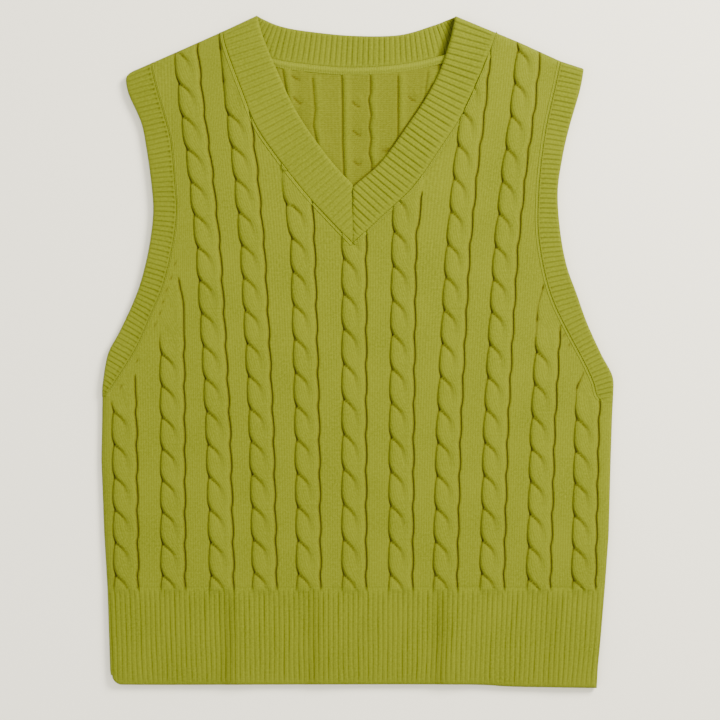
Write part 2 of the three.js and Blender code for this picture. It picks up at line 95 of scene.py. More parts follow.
# Bands, a row for a rib line across each: seam x, seam y, edge x, edge y
LEFT_ARMHOLE: Rows = (
    (-178.5, 248.5, -200.0, 239.0),
    (-174.0, 229.5, -197.3, 222.8),
    (-166.5, 203.0, -186.5, 198.0),
    (-161.0, 181.5, -182.0, 176.5),
    (-157.5, 146.0, -177.5, 144.5),
    (-156.0, 118.5, -176.0, 119.5),
    (-160.5, 86.0, -179.5, 90.5),
    (-168.5, 55.0, -186.5, 61.0),
    (-179.5, 29.0, -195.0, 38.5),
    (-189.0, 7.0, -205.5, 16.5),
    (-199.5, -11.0, -215.0, -2.0),
    (-213.0, -32.0, -219.5, -28.0),
    (-216.0, -38.5, -219.9, -38.7),
)
RIGHT_ARMHOLE: Rows = (
    (175.0, 250.5, 195.0, 244.0),
    (170.5, 229.5, 191.5, 225.0),
    (163.0, 196.0, 182.0, 192.0),
    (158.5, 166.0, 176.0, 164.5),
    (156.0, 138.5, 172.5, 137.5),
    (155.5, 105.0, 174.5, 105.0),
    (160.5, 71.5, 180.0, 75.0),
    (168.5, 44.0, 189.0, 49.5),
    (181.5, 17.0, 197.5, 25.5),
    (195.0, -8.5, 209.5, -1.0),
    (203.0, -26.0, 219.5, -20.5),
    (206.5, -38.5, 220.3, -36.0),
    (214.0, -43.5, 220.0, -43.7),
)
NECK_LEFT: Rows = (
    (-116.5, 276.0, -86.5, 290.0),
    (-113.0, 260.5, -81.0, 270.5),
    (-100.0, 225.5, -67.5, 238.5),
    (-87.5, 195.0, -55.0, 211.5),
    (-69.0, 167.5, -39.5, 187.0),
    (-47.5, 139.5, -20.5, 162.0),
    (-27.0, 117.0, -1.0, 141.0),
    (-5.0, 94.0, 21.0, 117.5),
    (8.0, 80.0, 34.0, 103.5),
)
NECK_RIGHT: Rows = (
    (119.5, 275.0, 84.5, 289.5),
    (113.5, 258.0, 79.0, 266.5),
    (102.0, 230.0, 70.5, 241.5),
    (88.5, 202.0, 58.5, 218.5),
    (70.5, 174.5, 42.5, 194.5),
    (48.0, 142.0, 20.0, 163.5),
    (23.5, 119.0, -3.0, 143.0),
    (-4.5, 93.0, -31.0, 117.0),
    (-17.0, 81.0, -43.5, 105.0),
)
NECK_BACK: Rows = (
    (-116.5, 276.0, -86.5, 290.0),
    (-97.0, 262.5, -79.5, 286.3),
    (-74.0, 253.0, -66.0, 281.0),
    (-49.5, 248.5, -45.0, 277.0),
    (-6.5, 245.0, -5.0, 273.0),
    (36.5, 247.5, 35.5, 273.5),
    (72.0, 255.0, 64.5, 281.5),
    (97.0, 264.0, 77.0, 286.3),
    (119.5, 275.0, 84.5, 289.5),
)
HEM: Rows = (
    (-222.0, HEM_TOP, -217.5, -284.5),
    (-205.0, HEM_TOP, -201.5, -286.5),
    (-100.0, HEM_TOP, -98.5, -286.5),
    (0.0, HEM_TOP, 0.0, -286.3),
    (100.0, HEM_TOP, 97.5, -286.5),
    (140.0, HEM_TOP, 136.0, -288.3),
    (220.0, HEM_TOP, 213.0, -289.5),
)
# Cables: x at the hem, share of the splay, length of one turn, height of the first crossing, and
# the heights where the left groove, the right groove and the crossings end
CABLES: Rows = (
    (-199.0, -0.5, 28.1, -192.0, -41.0, -18.0, -46.0),
    (-158.6, -0.15, 27.15, -192.0, 16.0, 65.3, 6.0),
    (-116.9, -1.0, 28.2, -192.0, 300.0, 300.0, 300.0),
    (-80.0, -0.9, 28.15, -189.5, 300.0, 300.0, 208.0),
    (-42.0, -0.45, 28.9, -191.0, 300.0, 300.0, 300.0),
    (-3.0, 0.0, 30.2, -191.5, 300.0, 300.0, 300.0),
    (37.1, 0.24, 29.5, -191.5, 300.0, 300.0, 300.0),
    (75.5, 0.93, 28.4, -191.5, 300.0, 300.0, 300.0),
    (115.7, 1.02, 28.1, -190.5, 300.0, 300.0, 300.0),
    (155.8, 1.1, 27.9, -195.4, 59.0, 21.5, 8.0),
    (194.6, 0.8, 27.7, -196.3, -14.5, -35.0, -48.0),
)
# How far the cables have leant outwards: y, distance
SPLAY: Rows = (
    (-187.0, 0.0),
    (-67.0, 3.0),
    (2.0, 6.5),
    (88.0, 11.5),
    (157.0, 18.5),
    (208.0, 25.5),
    (330.0, 38.0),
)


def column(rows: Rows, index: int) -> np.ndarray:
    """One column of a table."""
    return np.array([row[index] for row in rows])


def ease(value: np.ndarray, low: float, high: float) -> np.ndarray:
    """A smooth step from 0 at low to 1 at high."""
    t = np.clip((value - low) / (high - low), 0.0, 1.0)
    return t * t * (3.0 - 2.0 * t)


def rounded(t: np.ndarray) -> np.ndarray:
    """A quarter circle, which climbs steeply from 0 and levels off at 1."""
    return np.sqrt(1.0 - (1.0 - np.clip(t, 0.0, 1.0)) ** 2)


def hump(distance: np.ndarray, width: float) -> np.ndarray:
    """A soft hump that is 1 at no distance."""
    return np.exp(-((distance / width) ** 2))


def spline(points: np.ndarray, t: np.ndarray) -> np.ndarray:
    """A smooth curve through points.

    Args:
        points: The points, one a row.
        t: Places along the curve, from 0 to 1.

    Returns:
        The curve's points, one a row, on the same curve that the part's source draws.
    """
    last = len(points) - 1
    place = np.clip(t, 0.0, 1.0) * last
    i = np.minimum(np.floor(place).astype(int), last - 1)
    w = (place - i)[:, None]
    p0, p1 = points[np.maximum(i - 1, 0)], points[i]
    p2, p3 = points[i + 1], points[np.minimum(i + 2, last)]
    v0, v1 = (p2 - p0) * 0.5, (p3 - p1) * 0.5
    cubic = (2 * p1 - 2 * p2 + v0 + v1) * w**3
    square = (-3 * p1 + 3 * p2 - 2 * v0 - v1) * w**2
    return cubic + square + v0 * w + p1


def distance_to(x: np.ndarray, y: np.ndarray, line: np.ndarray) -> np.ndarray:
    """The distance from each place to a line of points."""
    best = np.full(x.shape, 1e9)
    for a, b in zip(line[:-1], line[1:]):
        along = b - a
        t = np.clip(((x - a[0]) * along[0] + (y - a[1]) * along[1]) / (along @ along), 0, 1)
        best = np.minimum(best, np.hypot(x - a[0] - t * along[0], y - a[1] - t * along[1]))
    return best


def lie(x: np.ndarray, y: np.ndarray) -> np.ndarray:
    """How unevenly the front lies: shallow swells of a fraction of a millimetre."""
    swell = 0.28 * np.sin(x / 31.0 + 0.7) * np.sin(y / 47.0 - 0.4)
    swell += 0.22 * np.sin(x / 17.0 - y / 39.0 + 1.9) + 0.16 * np.sin(y / 21.0 + x / 63.0)
    return swell


class BandPath:
    """A band's rib lines by the distance along its middle."""

    def __init__(self, rows: Rows) -> None:
        table = np.array(rows)
        self.seam_rows, self.edge_rows = table[:, :2], table[:, 2:]
        self.t = np.linspace(0.0, 1.0, 40 * (len(rows) - 1) + 1)
        middle = (spline(self.seam_rows, self.t) + spline(self.edge_rows, self.t)) / 2
        steps = np.hypot(*np.diff(middle, axis=0).T)
        self.marks = np.concatenate([[0.0], np.cumsum(steps)])
        self.length = float(self.marks[-1])

    def lines(self, distance: np.ndarray) -> tuple[np.ndarray, np.ndarray]:
        """The seam's and the free edge's points at each distance."""
        t = np.interp(distance, self.marks, self.t)
        return spline(self.seam_rows, t), spline(self.edge_rows, t)

    def seam(self, count: int) -> np.ndarray:
        """The seam as a line of points."""
        return self.lines(np.linspace(0.0, self.length, count))[0]

    def edge(self, count: int) -> np.ndarray:
        """The free edge as a line of points."""
        return self.lines(np.linspace(0.0, self.length, count))[1]


class Outline:
    """Where a panel's cloth ends at each height, left and right, and on either side of the neck."""

    def __init__(self, neck_left: np.ndarray, neck_right: np.ndarray, middle: float) -> None:
        left_arm, right_arm = BandPath(LEFT_ARMHOLE).seam(200), BandPath(RIGHT_ARMHOLE).seam(200)
        left_top = np.array(LEFT_SHOULDER)[1:4]
        right_top = np.array(RIGHT_SHOULDER)[1:4]
        self.left_line = self._border(1, left_arm, left_top)
        self.right_line = self._border(2, right_arm, right_top)
        self.neck_left, self.neck_right, self.middle = neck_left, neck_right, middle

    @staticmethod
    def _border(index: int, arm: np.ndarray, shoulder: np.ndarray) -> np.ndarray:
        """A side seam, which reaches a little under the armband's end, then armhole and shoulder."""
        y, x, top = column(SIDES, 0), column(SIDES, index), float(arm[:, 1].min()) + 1.7
        side = np.stack([x, y], 1)[y < top]
        corner = [[np.interp(top, y, x), top]]
        return np.concatenate([side, corner, arm[arm[:, 1] > top][::-1], shoulder])

    @staticmethod
    def _at(line: np.ndarray, y: np.ndarray) -> np.ndarray:
        order = np.argsort(line[:, 1], kind="stable")
        return np.interp(y, line[order, 1], line[order, 0])

    def spans(self, y: np.ndarray) -> tuple[np.ndarray, ...]:
        """The four ends at each height: left, neck's left, neck's right, right."""
        left, right = self._at(self.left_line, y), self._at(self.right_line, y)
        neck_left = np.minimum(self._at(self.neck_left, y), self.middle)
        neck_right = np.maximum(self._at(self.neck_right, y), self.middle)
        low = y < min(self.neck_left[:, 1].min(), self.neck_right[:, 1].min())
        neck_left = np.where(low, self.middle, np.maximum(neck_left, left))
        neck_right = np.where(low, self.middle, np.minimum(neck_right, right))
        return left, neck_left, neck_right, right


@dataclass(frozen=True)
class CableKnit:
    """The relief of the plain knitting with its eleven cables, in millimetres above the plain."""

    groove_at: float = 10.2
    lip: float = 1.7
    height: float = 1.75
    shoulder: float = 4.8
    end: float = 4.0
    room: float = 26.0
    mirrored: bool = False

    # Along one turn, from a crossing down: how far the left groove is pulled in
    pinch: Rows = (
        (0, 1.7), (0.05, 1.0), (0.1, 0.5), (0.2, 0.1), (0.42, -0.4),
        (0.65, -0.5), (0.8, -0.1), (0.9, 0.7), (0.96, 1.3), (1, 1.7),
    )
    # The right groove's wave
    wave: Rows = ((0, -0.6), (0.1, -0.5), (0.3, 0.1), (0.6, 0.6), (0.8, 0.4), (0.94, -0.4), (1, -0.6))
    left_depth: Rows = ((0, 2.1), (0.05, 1.3), (0.12, 0.75), (0.5, 0.6), (0.75, 0.9), (0.9, 1.5), (1, 2.1))
    # The crease that starts at the left groove, runs down to the middle and opens into a valley
    crease: Rows = (
        (0, -8.4), (0.04, -7.0), (0.1, -5.0), (0.17, -3.0), (0.24, -1.2), (0.31, 0.1),
        (0.4, 1.1), (0.54, 2.0), (0.7, 2.8), (1, 4.0),
    )
    crease_depth: Rows = (
        (0, 1.4), (0.05, 1.5), (0.2, 1.4), (0.3, 1.1), (0.42, 0.75), (0.6, 0.45), (0.8, 0.2), (1, 0.0),
    )
    crease_left: Rows = ((0, 1.1), (0.2, 1.4), (0.4, 2.0), (0.6, 3.0), (1, 4.0))
    crease_right: Rows = ((0, 1.0), (0.3, 1.2), (0.6, 2.4), (1, 3.4))
    # Where a cable's longer groove bends in at its top: which cable, how far, over what length
    bends: Rows = ((1, 4.0, 27.0), (9, 3.5, 22.0), (10, 6.0, 19.0))
    # Where a groove spreads outwards below the neckband: which cable, the side, how far
    flares: Rows = ((4, -1, 6.8), (6, 1, 7.0))
    flare_heights: tuple[float, float] = (98.0, 158.0)
    # How dark and how wide the painted shade line along the crease is
    line: Rows = ((0, 0.9), (0.15, 0.85), (0.25, 0.65), (0.33, 0.35), (0.45, 0.15), (0.7, 0.0))
    line_width: Rows = ((0, 0.9), (0.2, 0.95), (0.35, 1.2), (0.6, 2.0), (1, 2.6))
    under_height: Rows = ((0, 0.15), (0.08, 0.5), (0.2, 0.8), (0.4, 1.0), (1, 1.1))
    over_height: Rows = ((0, 1.1), (0.2, 1.12), (0.5, 0.95), (0.8, 0.92), (1, 1.05))
    # The middle of a strand on its way from the left to the right, over two turns
    strand: Rows = (
        (0, -5.5), (0.2, -6.6), (0.5, -5.8), (0.8, -3.6), (1.0, -1.0),
        (1.2, 2.0), (1.4, 4.4), (1.7, 5.6), (2.0, 5.4),
    )

    def centre(self, index: int, y: np.ndarray) -> np.ndarray:
        """A cable's middle at a height; the outermost one gives way to the one inside it."""
        x, lean = CABLES[index][0], CABLES[index][1]
        at = x + lean * np.interp(y, column(SPLAY, 0), column(SPLAY, 1))
        return np.minimum(at, self.centre(index + 1, y) - self.room) if index < 2 else at

    @staticmethod
    def phase(index: int, y: np.ndarray) -> np.ndarray:
        """How far down from the last crossing, from 0 to 1."""
        return np.mod((CABLES[index][3] - y) / CABLES[index][2], 1.0)

    @staticmethod
    def _read(rows: Rows, at: np.ndarray) -> np.ndarray:
        return np.interp(at, column(rows, 0), column(rows, 1))

    def grooves(self, index: int, y: np.ndarray) -> tuple[np.ndarray, np.ndarray]:
        """Both grooves' places across a cable, from its middle. Above the crossings they run straight."""
        d = self.phase(index, y)
        curved = 1.0 - ease(y, CABLES[index][6], CABLES[index][6] + 12.0)
        left = -self.groove_at + curved * self._read(self.pinch, d)
        right = self.groove_at + curved * self._read(self.wave, d)
        for which, side, far in self.flares:
            low, high = self.flare_heights
            spread = far * np.clip((y - low) / (high - low), 0.0, 1.0)
            spread = spread * (which == index and not self.mirrored)
            left, right = left - spread * (side < 0), right + spread * (side > 0)
        left_end, right_end = CABLES[index][4], CABLES[index][5]
        for which, far, length in self.bends:
            if which == index:
                nearing = far * (1.0 - ease(max(left_end, right_end) - y, 0.0, length))
                left = left + nearing * (left_end > right_end)
                right = right - nearing * (right_end > left_end)
        return left, right

    def relief(self, x: np.ndarray, y: np.ndarray) -> tuple[np.ndarray, np.ndarray, np.ndarray]:
        """The knitted surface at each place.

        Args:
            x: Places across.
            y: Places along.

        Returns:
            The height above the plain, the painted shade from 0 to 1 down in the grooves and along
            the creases, and the place across the wales that the stitches follow.
        """
        height, shade = np.zeros(x.shape), np.zeros(x.shape)
        lean = np.interp(x, column(CABLES, 0), column(CABLES, 1))
        wale = x - lean * np.interp(y, column(SPLAY, 0), column(SPLAY, 1))
        for index, (rest, _, _, _, left_end, right_end, last) in enumerate(CABLES):
            s = x - self.centre(index, y)
            s = -s if self.mirrored else s
            near = (np.abs(s) < self.groove_at + 4.5) & (y < max(left_end, right_end))
            if not near.any():
                continue
            s, at_y = s[near], y[near]
            d = self.phase(index, at_y)
            left, right = self.grooves(index, at_y)
            on_left = (s - left) < (right - s)
            full = np.clip((np.where(on_left, left_end, right_end) - at_y) / self.end, 0.0, 1.0)
            raised = np.clip((min(left_end, right_end) - at_y) / (4 * self.end), 0.0, 1.0)
            depth = full * np.where(on_left, self._read(self.left_depth, d), 1.5)
            inside = np.where(on_left, s - left, right - s)
            crossed = np.clip((last - at_y) / 2.0, 0.0, 1.0)
            off = s - self._read(self.crease, d)
            over = 1.0 / (1.0 + np.exp(np.clip(-off / 0.4, -40, 40)))
            tall = self._read(self.under_height, d) * (1 - over)
            tall += self._read(self.over_height, d) * over
            tall = raised * (1.0 + crossed * (tall - 1.0))
            right_width = self._read(self.crease_right, d)
            width = np.where(off > 0, right_width, self._read(self.crease_left, d))
            body = -depth + (self.height * tall + depth) * rounded(inside / self.shoulder)
            body -= crossed * self._read(self.crease_depth, d) * hump(off, width)
            lip = -depth * np.clip(1.0 + inside / self.lip, 0.0, 1.0) ** 2
            height[near] = np.where(inside > 0, body, lip)
            # Painted shade: darker down in the grooves, and a dark line along each crease
            groove_shade = depth / 1.5 * hump(inside, 0.95)
            line = crossed * self._read(self.line, d) * hump(off, self._read(self.line_width, d))
            shade[near] = np.maximum(shade[near], np.maximum(groove_shade, line * (inside > 0)))
            strand = self._read(self.strand, d + (off > 0))
            wale[near] = np.where(inside > 0, rest + s - strand, wale[near])
        return height, shade, wale

    def columns(self, y: np.ndarray, inner: int, plain: int) -> list[np.ndarray]:
        """Lines up the body that follow the cables' grooves.

        Args:
            y: The rows' heights.
            inner: How many lines run between a cable's grooves.
            plain: How many lines run up the plain knitting between two cables.

        Returns:
            Each line's x at each row, from left to right.
        """
        lines: list[np.ndarray] = []
        for index in range(len(CABLES)):
            middle = self.centre(index, y)
            left, right = self.grooves(index, y)
            if self.mirrored:
                left, right = -right, -left
            cable = [middle + left - off for off in (3.2, 1.8, 1.0, 0.4, 0.0)]
            cable += [middle + left + off for off in (0.35, 0.9, 1.7)]
            cable += [
                middle + left + 1.7 + (right - left - 3.4) * i / (inner + 1) for i in range(1, inner + 1)
            ]
            cable += [middle + right - off for off in (1.7, 0.9, 0.35, 0.0)]
            cable += [middle + right + off for off in (0.4, 1.0, 1.8, 3.2)]
            if lines:
                before = lines[-1]
                lines += [before + (cable[0] - before) * i / (plain + 1) for i in range(1, plain + 1)]
            lines += cable
        return lines


class ClothMesh:
    """Collects closed shells of cloth, with the stitches' places and the grooves' painted shade."""

    def __init__(self) -> None:
        self.points: list[np.ndarray] = []
        self.stitch: list[np.ndarray] = []
        self.shade: list[np.ndarray] = []
        self.faces: list[tuple[int, ...]] = []
        self.smooth: list[bool] = []
        self.slots: list[int] = []
        self.count = 0

    def _add(self, points: np.ndarray, stitch: np.ndarray, shade: np.ndarray) -> int:
        first = self.count
        self.points.append(points)
        self.stitch.append(stitch)
        self.shade.append(shade)
        self.count += len(points)
        return first

    def _faces(self, faces: Iterable[tuple[int, ...]], smooth: bool, slot: int) -> None:
        before = len(self.faces)
        self.faces.extend(faces)
        added = len(self.faces) - before
        self.smooth.extend([smooth] * added)
        self.slots.extend([slot] * added)

    @staticmethod
    def _weld(x: np.ndarray, y: np.ndarray) -> tuple[np.ndarray, np.ndarray]:
        keys = np.round(np.stack([x, y], -1).reshape(-1, 2) * 1e4).astype(np.int64)
        _, first, ids = np.unique(keys, axis=0, return_index=True, return_inverse=True)
        return first, ids.reshape(x.shape)

    @staticmethod
    def _cells(ids: np.ndarray, opening: Optional[int]) -> list[tuple[int, ...]]:
        keep = np.ones((ids.shape[0] - 1, ids.shape[1] - 1), bool)
        if opening is not None:
            keep[:, opening] = False
        a, b = ids[:-1, :-1][keep], ids[:-1, 1:][keep]
        c, d = ids[1:, 1:][keep], ids[1:, :-1][keep]
        whole = (a != b) & (b != c) & (c != d) & (d != a) & (a != c) & (b != d)
        faces = list(map(tuple, np.stack([a, b, c, d], 1)[whole].tolist()))
        for same, corners in (
            (a == b, (a, c, d)), (c == d, (a, b, c)), (a == d, (a, b, c)), (b == c, (a, b, d)),
        ):
            p, q, r = corners
            real = same & ~whole & (p != q) & (q != r) & (r != p)
            faces += list(map(tuple, np.stack([p, q, r], 1)[real].tolist()))
        return faces

    @staticmethod
    def _rims(faces: list[tuple[int, ...]]) -> list[list[int]]:
        edges = {(f[i], f[(i + 1) % len(f)]) for f in faces for i in range(len(f))}
        after: dict[int, list[int]] = {}
        for a, b in edges:
            if (b, a) not in edges:
                after.setdefault(a, []).append(b)
        rims = []
        while after:
            start = min(after)
            rim, here = [], start
            while here in after:
                rim.append(here)
                onward = after[here]
                here_next = onward.pop()
                if not onward:
                    del after[here]
                here = here_next
            rims.append(rim)
        return rims

    def shell(
        self,
        x: np.ndarray,
        y: np.ndarray,
        top: np.ndarray,
        low: float | np.ndarray,
        stitch: np.ndarray,
        shade: np.ndarray,
        opening: Optional[int] = None,
        slots: tuple[int, int] = (0, 0),
        low_shade: Optional[np.ndarray] = None,
    ) -> None:
        """Adds a closed shell over a grid. Points that share a place are one point.

        Args:
            x: Each grid point's x, rows by columns.
            y: Each grid point's y.
            top: The upper surface's heights.
            low: The lower surface's heights, or one height where it is flat and hidden.
            stitch: The stitches' places, across and along the wales, on the last axis.
            shade: The grooves' painted shade on the upper surface.
            opening: The column after which there is no cloth, where both sides stand apart.
            slots: The material slots of the upper and the lower surface.
            low_shade: The grooves' painted shade on the lower surface.
        """
        first, ids = self._weld(x, y)
        faces = self._cells(ids, opening)
        used = np.unique([i for f in faces for i in f])
        renumber = np.full(len(first), -1)
        renumber[used] = np.arange(len(used))
        pick = first[used]
        faces = [tuple(int(renumber[i]) for i in f) for f in faces]
        xy = np.stack([x.reshape(-1)[pick], y.reshape(-1)[pick]], 1)
        places = stitch.reshape(-1, 2)[pick]
        base = self._add(
            np.column_stack([xy, top.reshape(-1)[pick]]), places, shade.reshape(-1)[pick]
        )
        self._faces([tuple(base + i for i in f) for f in faces], True, slots[0])
        rims = self._rims(faces)
        if isinstance(low, np.ndarray):
            under_shade = np.zeros(x.shape) if low_shade is None else low_shade
            under = self._add(
                np.column_stack([xy, low.reshape(-1)[pick]]), places, under_shade.reshape(-1)[pick]
            )
            self._faces([tuple(under + i for i in reversed(f)) for f in faces], True, slots[1])
            matching = {i: under + i for rim in rims for i in rim}
        else:
            order = [i for rim in rims for i in rim]
            flat = np.column_stack([xy[order], np.full(len(order), low)])
            under = self._add(flat, places[order], np.zeros(len(order)))
            matching = {i: under + n for n, i in enumerate(order)}
            for rim in rims:
                self._faces([tuple(matching[i] for i in reversed(rim))], False, slots[1])
        for rim in rims:
            pairs = zip(rim, rim[1:] + rim[:1])
            walls = [(base + b, base + a, matching[a], matching[b]) for a, b in pairs]
            self._faces(walls, False, slots[0])

    def make(self, name: str, materials: list[bpy.types.Material]) -> bpy.types.Object:
        """Makes the object.

        Args:
            name: The piece's name.
            materials: Its materials, in the order of their slots.

        Returns:
            The object, linked to the scene, in metres.
        """
        points = np.concatenate(self.points) * MM
        mesh = bpy.data.meshes.new(name)
        mesh.from_pydata(points.tolist(), [], self.faces)
        mesh.polygons.foreach_set("use_smooth", self.smooth)
        mesh.polygons.foreach_set("material_index", self.slots)
        corners = np.empty(len(mesh.loops), np.int32)
        mesh.loops.foreach_get("vertex_index", corners)
        layer = mesh.uv_layers.new(name="stitches")
        layer.data.foreach_set("uv", np.concatenate(self.stitch)[corners].astype(np.float32).ravel())
        # The painted shade that the materials mix into the colour
        shade = mesh.attributes.new("shade", "FLOAT", "POINT")
        shade.data.foreach_set("value", np.clip(np.concatenate(self.shade), 0, 1).astype(np.float32))
        work = bmesh.new()
        work.from_mesh(mesh)
        bmesh.ops.recalc_face_normals(work, faces=work.faces)
        work.to_mesh(mesh)
        work.free()
        for material in materials:
            mesh.materials.append(material)
        made = bpy.data.objects.new(name, mesh)
        bpy.context.scene.collection.objects.link(made)
        return made


def linear(hex_colour: str) -> tuple[float, float, float, float]:
    """A colour for Blender from its sRGB hex value."""
    parts = [int(hex_colour[i : i + 2], 16) / 255 for i in (1, 3, 5)]
    lit = [c / 12.92 if c <= 0.04045 else ((c + 0.055) / 1.055) ** 2.4 for c in parts]
    return (lit[0], lit[1], lit[2], 1.0)


def add_node(
    tree: bpy.types.NodeTree,
    kind: str,
    inputs: Optional[dict[int | str, object]] = None,
    **settings: object,
) -> bpy.types.Node:
    """Adds a node with its settings, values and links.

    Args:
        tree: The tree that it goes into.
        kind: Blender's name for the node.
        inputs: A value, or the socket that feeds it, for each input.
        settings: The node's own properties.

    Returns:
        The node.
    """
    node = tree.nodes.new(kind)
    for key, value in settings.items():
        setattr(node, key, value)
    for key, value in (inputs or {}).items():
        if isinstance(value, bpy.types.NodeSocket):
            tree.links.new(value, node.inputs[key])
        else:
            node.inputs[key].default_value = value
    return node


class Face(Enum):
    """Which side of the knitting shows."""

    KNIT = "knit"
    PURL = "purl"


@dataclass(frozen=True)
class WoolKnit:
    """Fine-gauge knitting in a matt olive-lime yarn of wool with a little acrylic.

    The eye sees an even, chalky colour with no gloss, a pale bloom of fibre ends at grazing
    angles and faint lines of stitches. Where light sinks between the stitches and into the grooves, a browner
    olive is painted in as shade.
    """

    name: str = "wool_knit"
    face: Face = Face.KNIT
    base: str = "#666C13"
    bright: str = "#6F761B"
    dull: str = "#5D640E"
    # The colour of the painted shade in the grooves and between the stitches
    deep: str = "#3C3202"
    # Spacing of the wales and of the courses in millimetres. Real ones are about 1.3 and 1.0,
    # too fine for the render, so they are drawn coarser.
    wale: float = 2.1
    course: float = 1.6
    relief: float = 0.28
    deepen: float = 0.7

    def _stitches(
        self, tree: bpy.types.NodeTree
    ) -> tuple[bpy.types.NodeSocket, bpy.types.NodeSocket]:
        """The stitches' height and the places that the noises read."""
        place = add_node(tree, "ShaderNodeUVMap", uv_map="stitches").outputs["UV"]
        drift = add_node(tree, "ShaderNodeTexNoise", {"Vector": place, "Scale": 0.35, "Detail": 1.0})
        moved = add_node(
            tree,
            "ShaderNodeVectorMath",
            {0: drift.outputs["Color"], 1: (0.9, 0.9, 0.0)},
            operation="MULTIPLY",
        )
        bent = add_node(tree, "ShaderNodeVectorMath", {0: place, 1: moved.outputs[0]}, operation="ADD")
        axes = add_node(tree, "ShaderNodeSeparateXYZ", {0: bent.outputs[0]})
        across = add_node(tree, "ShaderNodeMath", {0: axes.outputs["X"], 1: self.wale}, operation="DIVIDE")
        along = add_node(tree, "ShaderNodeMath", {0: axes.outputs["Y"], 1: self.course}, operation="DIVIDE")
        saw = add_node(tree, "ShaderNodeMath", {0: across.outputs[0], 1: 0.5}, operation="PINGPONG")
        spread = add_node(tree, "ShaderNodeMath", {0: saw.outputs[0], 1: 2.0}, operation="MULTIPLY")
        lean = 0.9 if self.face is Face.KNIT else 0.25
        leg = add_node(
            tree,
            "ShaderNodeMath",
            {0: spread.outputs[0], 1: lean, 2: along.outputs[0]},
            operation="MULTIPLY_ADD",
        )
        turn = add_node(tree, "ShaderNodeMath", {0: leg.outputs[0], 1: math.tau}, operation="MULTIPLY")
        loops = add_node(tree, "ShaderNodeMath", {0: turn.outputs[0]}, operation="SINE")
        rows = 0.2 if self.face is Face.KNIT else 0.28
        ridge = 0.8 if self.face is Face.KNIT else 0.25
        rib = add_node(tree, "ShaderNodeMath", {0: spread.outputs[0], 1: ridge}, operation="MULTIPLY")
        height = add_node(
            tree,
            "ShaderNodeMath",
            {0: loops.outputs[0], 1: rows, 2: rib.outputs[0]},
            operation="MULTIPLY_ADD",
        )
        return height.outputs[0], place

    def make(self) -> bpy.types.Material:
        """Makes the material."""
        material = bpy.data.materials.new(self.name)
        material.use_nodes = True
        tree = material.node_tree
        tree.nodes.clear()
        height, place = self._stitches(tree)
        patches = add_node(tree, "ShaderNodeTexNoise", {"Vector": place, "Scale": 0.022, "Detail": 3.0})
        heather = add_node(
            tree, "ShaderNodeTexNoise", {"Vector": place, "Scale": 0.55, "Detail": 2.0, "Roughness": 0.6}
        )
        fuzz = add_node(
            tree, "ShaderNodeTexNoise", {"Vector": place, "Scale": 2.4, "Detail": 3.0, "Roughness": 0.7}
        )
        wide = add_node(
            tree, "ShaderNodeMapRange", {"Value": patches.outputs["Fac"], "From Min": 0.3, "From Max": 0.7}
        )
        tone = add_node(
            tree,
            "ShaderNodeMix",
            {0: wide.outputs[0], 6: linear(self.dull), 7: linear(self.base)},
            data_type="RGBA",
        )
        speck = add_node(
            tree, "ShaderNodeMapRange", {"Value": heather.outputs["Fac"], "From Min": 0.35, "From Max": 0.75}
        )
        lit = add_node(
            tree,
            "ShaderNodeMix",
            {0: speck.outputs[0], 6: tone.outputs[2], 7: linear(self.bright)},
            data_type="RGBA",
        )
        # Painted shade between the stitches: the lower a stitch's height, the more of the deep shade colour
        between = add_node(
            tree,
            "ShaderNodeMapRange",
            {"Value": height, "From Min": -0.1, "From Max": 0.5, "To Min": 0.22, "To Max": 0.0},
        )
        # Painted shade: the grooves' shade attribute and the gaps between stitches mix the colour towards the
        # deep shade colour
        shade = add_node(tree, "ShaderNodeAttribute", attribute_name="shade")
        sunk = add_node(
            tree,
            "ShaderNodeMath",
            {0: shade.outputs["Fac"], 1: self.deepen},
            operation="MULTIPLY",
        )
        both = add_node(
            tree,
            "ShaderNodeMath",
            {0: sunk.outputs[0], 1: between.outputs[0]},
            operation="ADD",
            use_clamp=True,
        )
        colour = add_node(
            tree,
            "ShaderNodeMix",
            {0: both.outputs[0], 6: lit.outputs[2], 7: linear(self.deep)},
            data_type="RGBA",
        )
        rough = add_node(
            tree, "ShaderNodeMath", {0: fuzz.outputs["Fac"], 1: 0.25, 2: height}, operation="MULTIPLY_ADD"
        )
        bump = add_node(
            tree,
            "ShaderNodeBump",
            {"Height": rough.outputs[0], "Strength": 0.55, "Distance": self.relief * MM},
        )
        shader = add_node(
            tree,
            "ShaderNodeBsdfPrincipled",
            {
                "Base Color": colour.outputs[2],
                "Roughness": 0.93,
                "IOR": 1.5,
                "Specular IOR Level": 0.12,
                "Sheen Weight": 0.1,
                "Sheen Roughness": 0.6,
                "Sheen Tint": linear("#B8BC50"),
                "Normal": bump.outputs[0],
            },
        )
        out = add_node(tree, "ShaderNodeOutputMaterial")
        tree.links.new(shader.outputs[0], out.inputs["Surface"])
        return material


@dataclass(frozen=True)
class PlainFloor:
    """A smooth pale floor, matt as painted board."""

    name: str = "pale_floor"
    colour: str = "#FBF6E4"
    size: float = 6.0

    def make(self) -> bpy.types.Object:
        """Makes the floor, which doesn't ride on the vest."""
        bpy.ops.mesh.primitive_plane_add(size=self.size, location=(0, 0, -0.0004))
        floor = bpy.context.object
        floor.name = "floor"
        material = bpy.data.materials.new(self.name)
        material.use_nodes = True
        shader = material.node_tree.nodes["Principled BSDF"]
        shader.inputs["Base Color"].default_value = linear(self.colour)
        shader.inputs["Roughness"].default_value = 0.9
        floor.data.materials.append(material)
        return floor


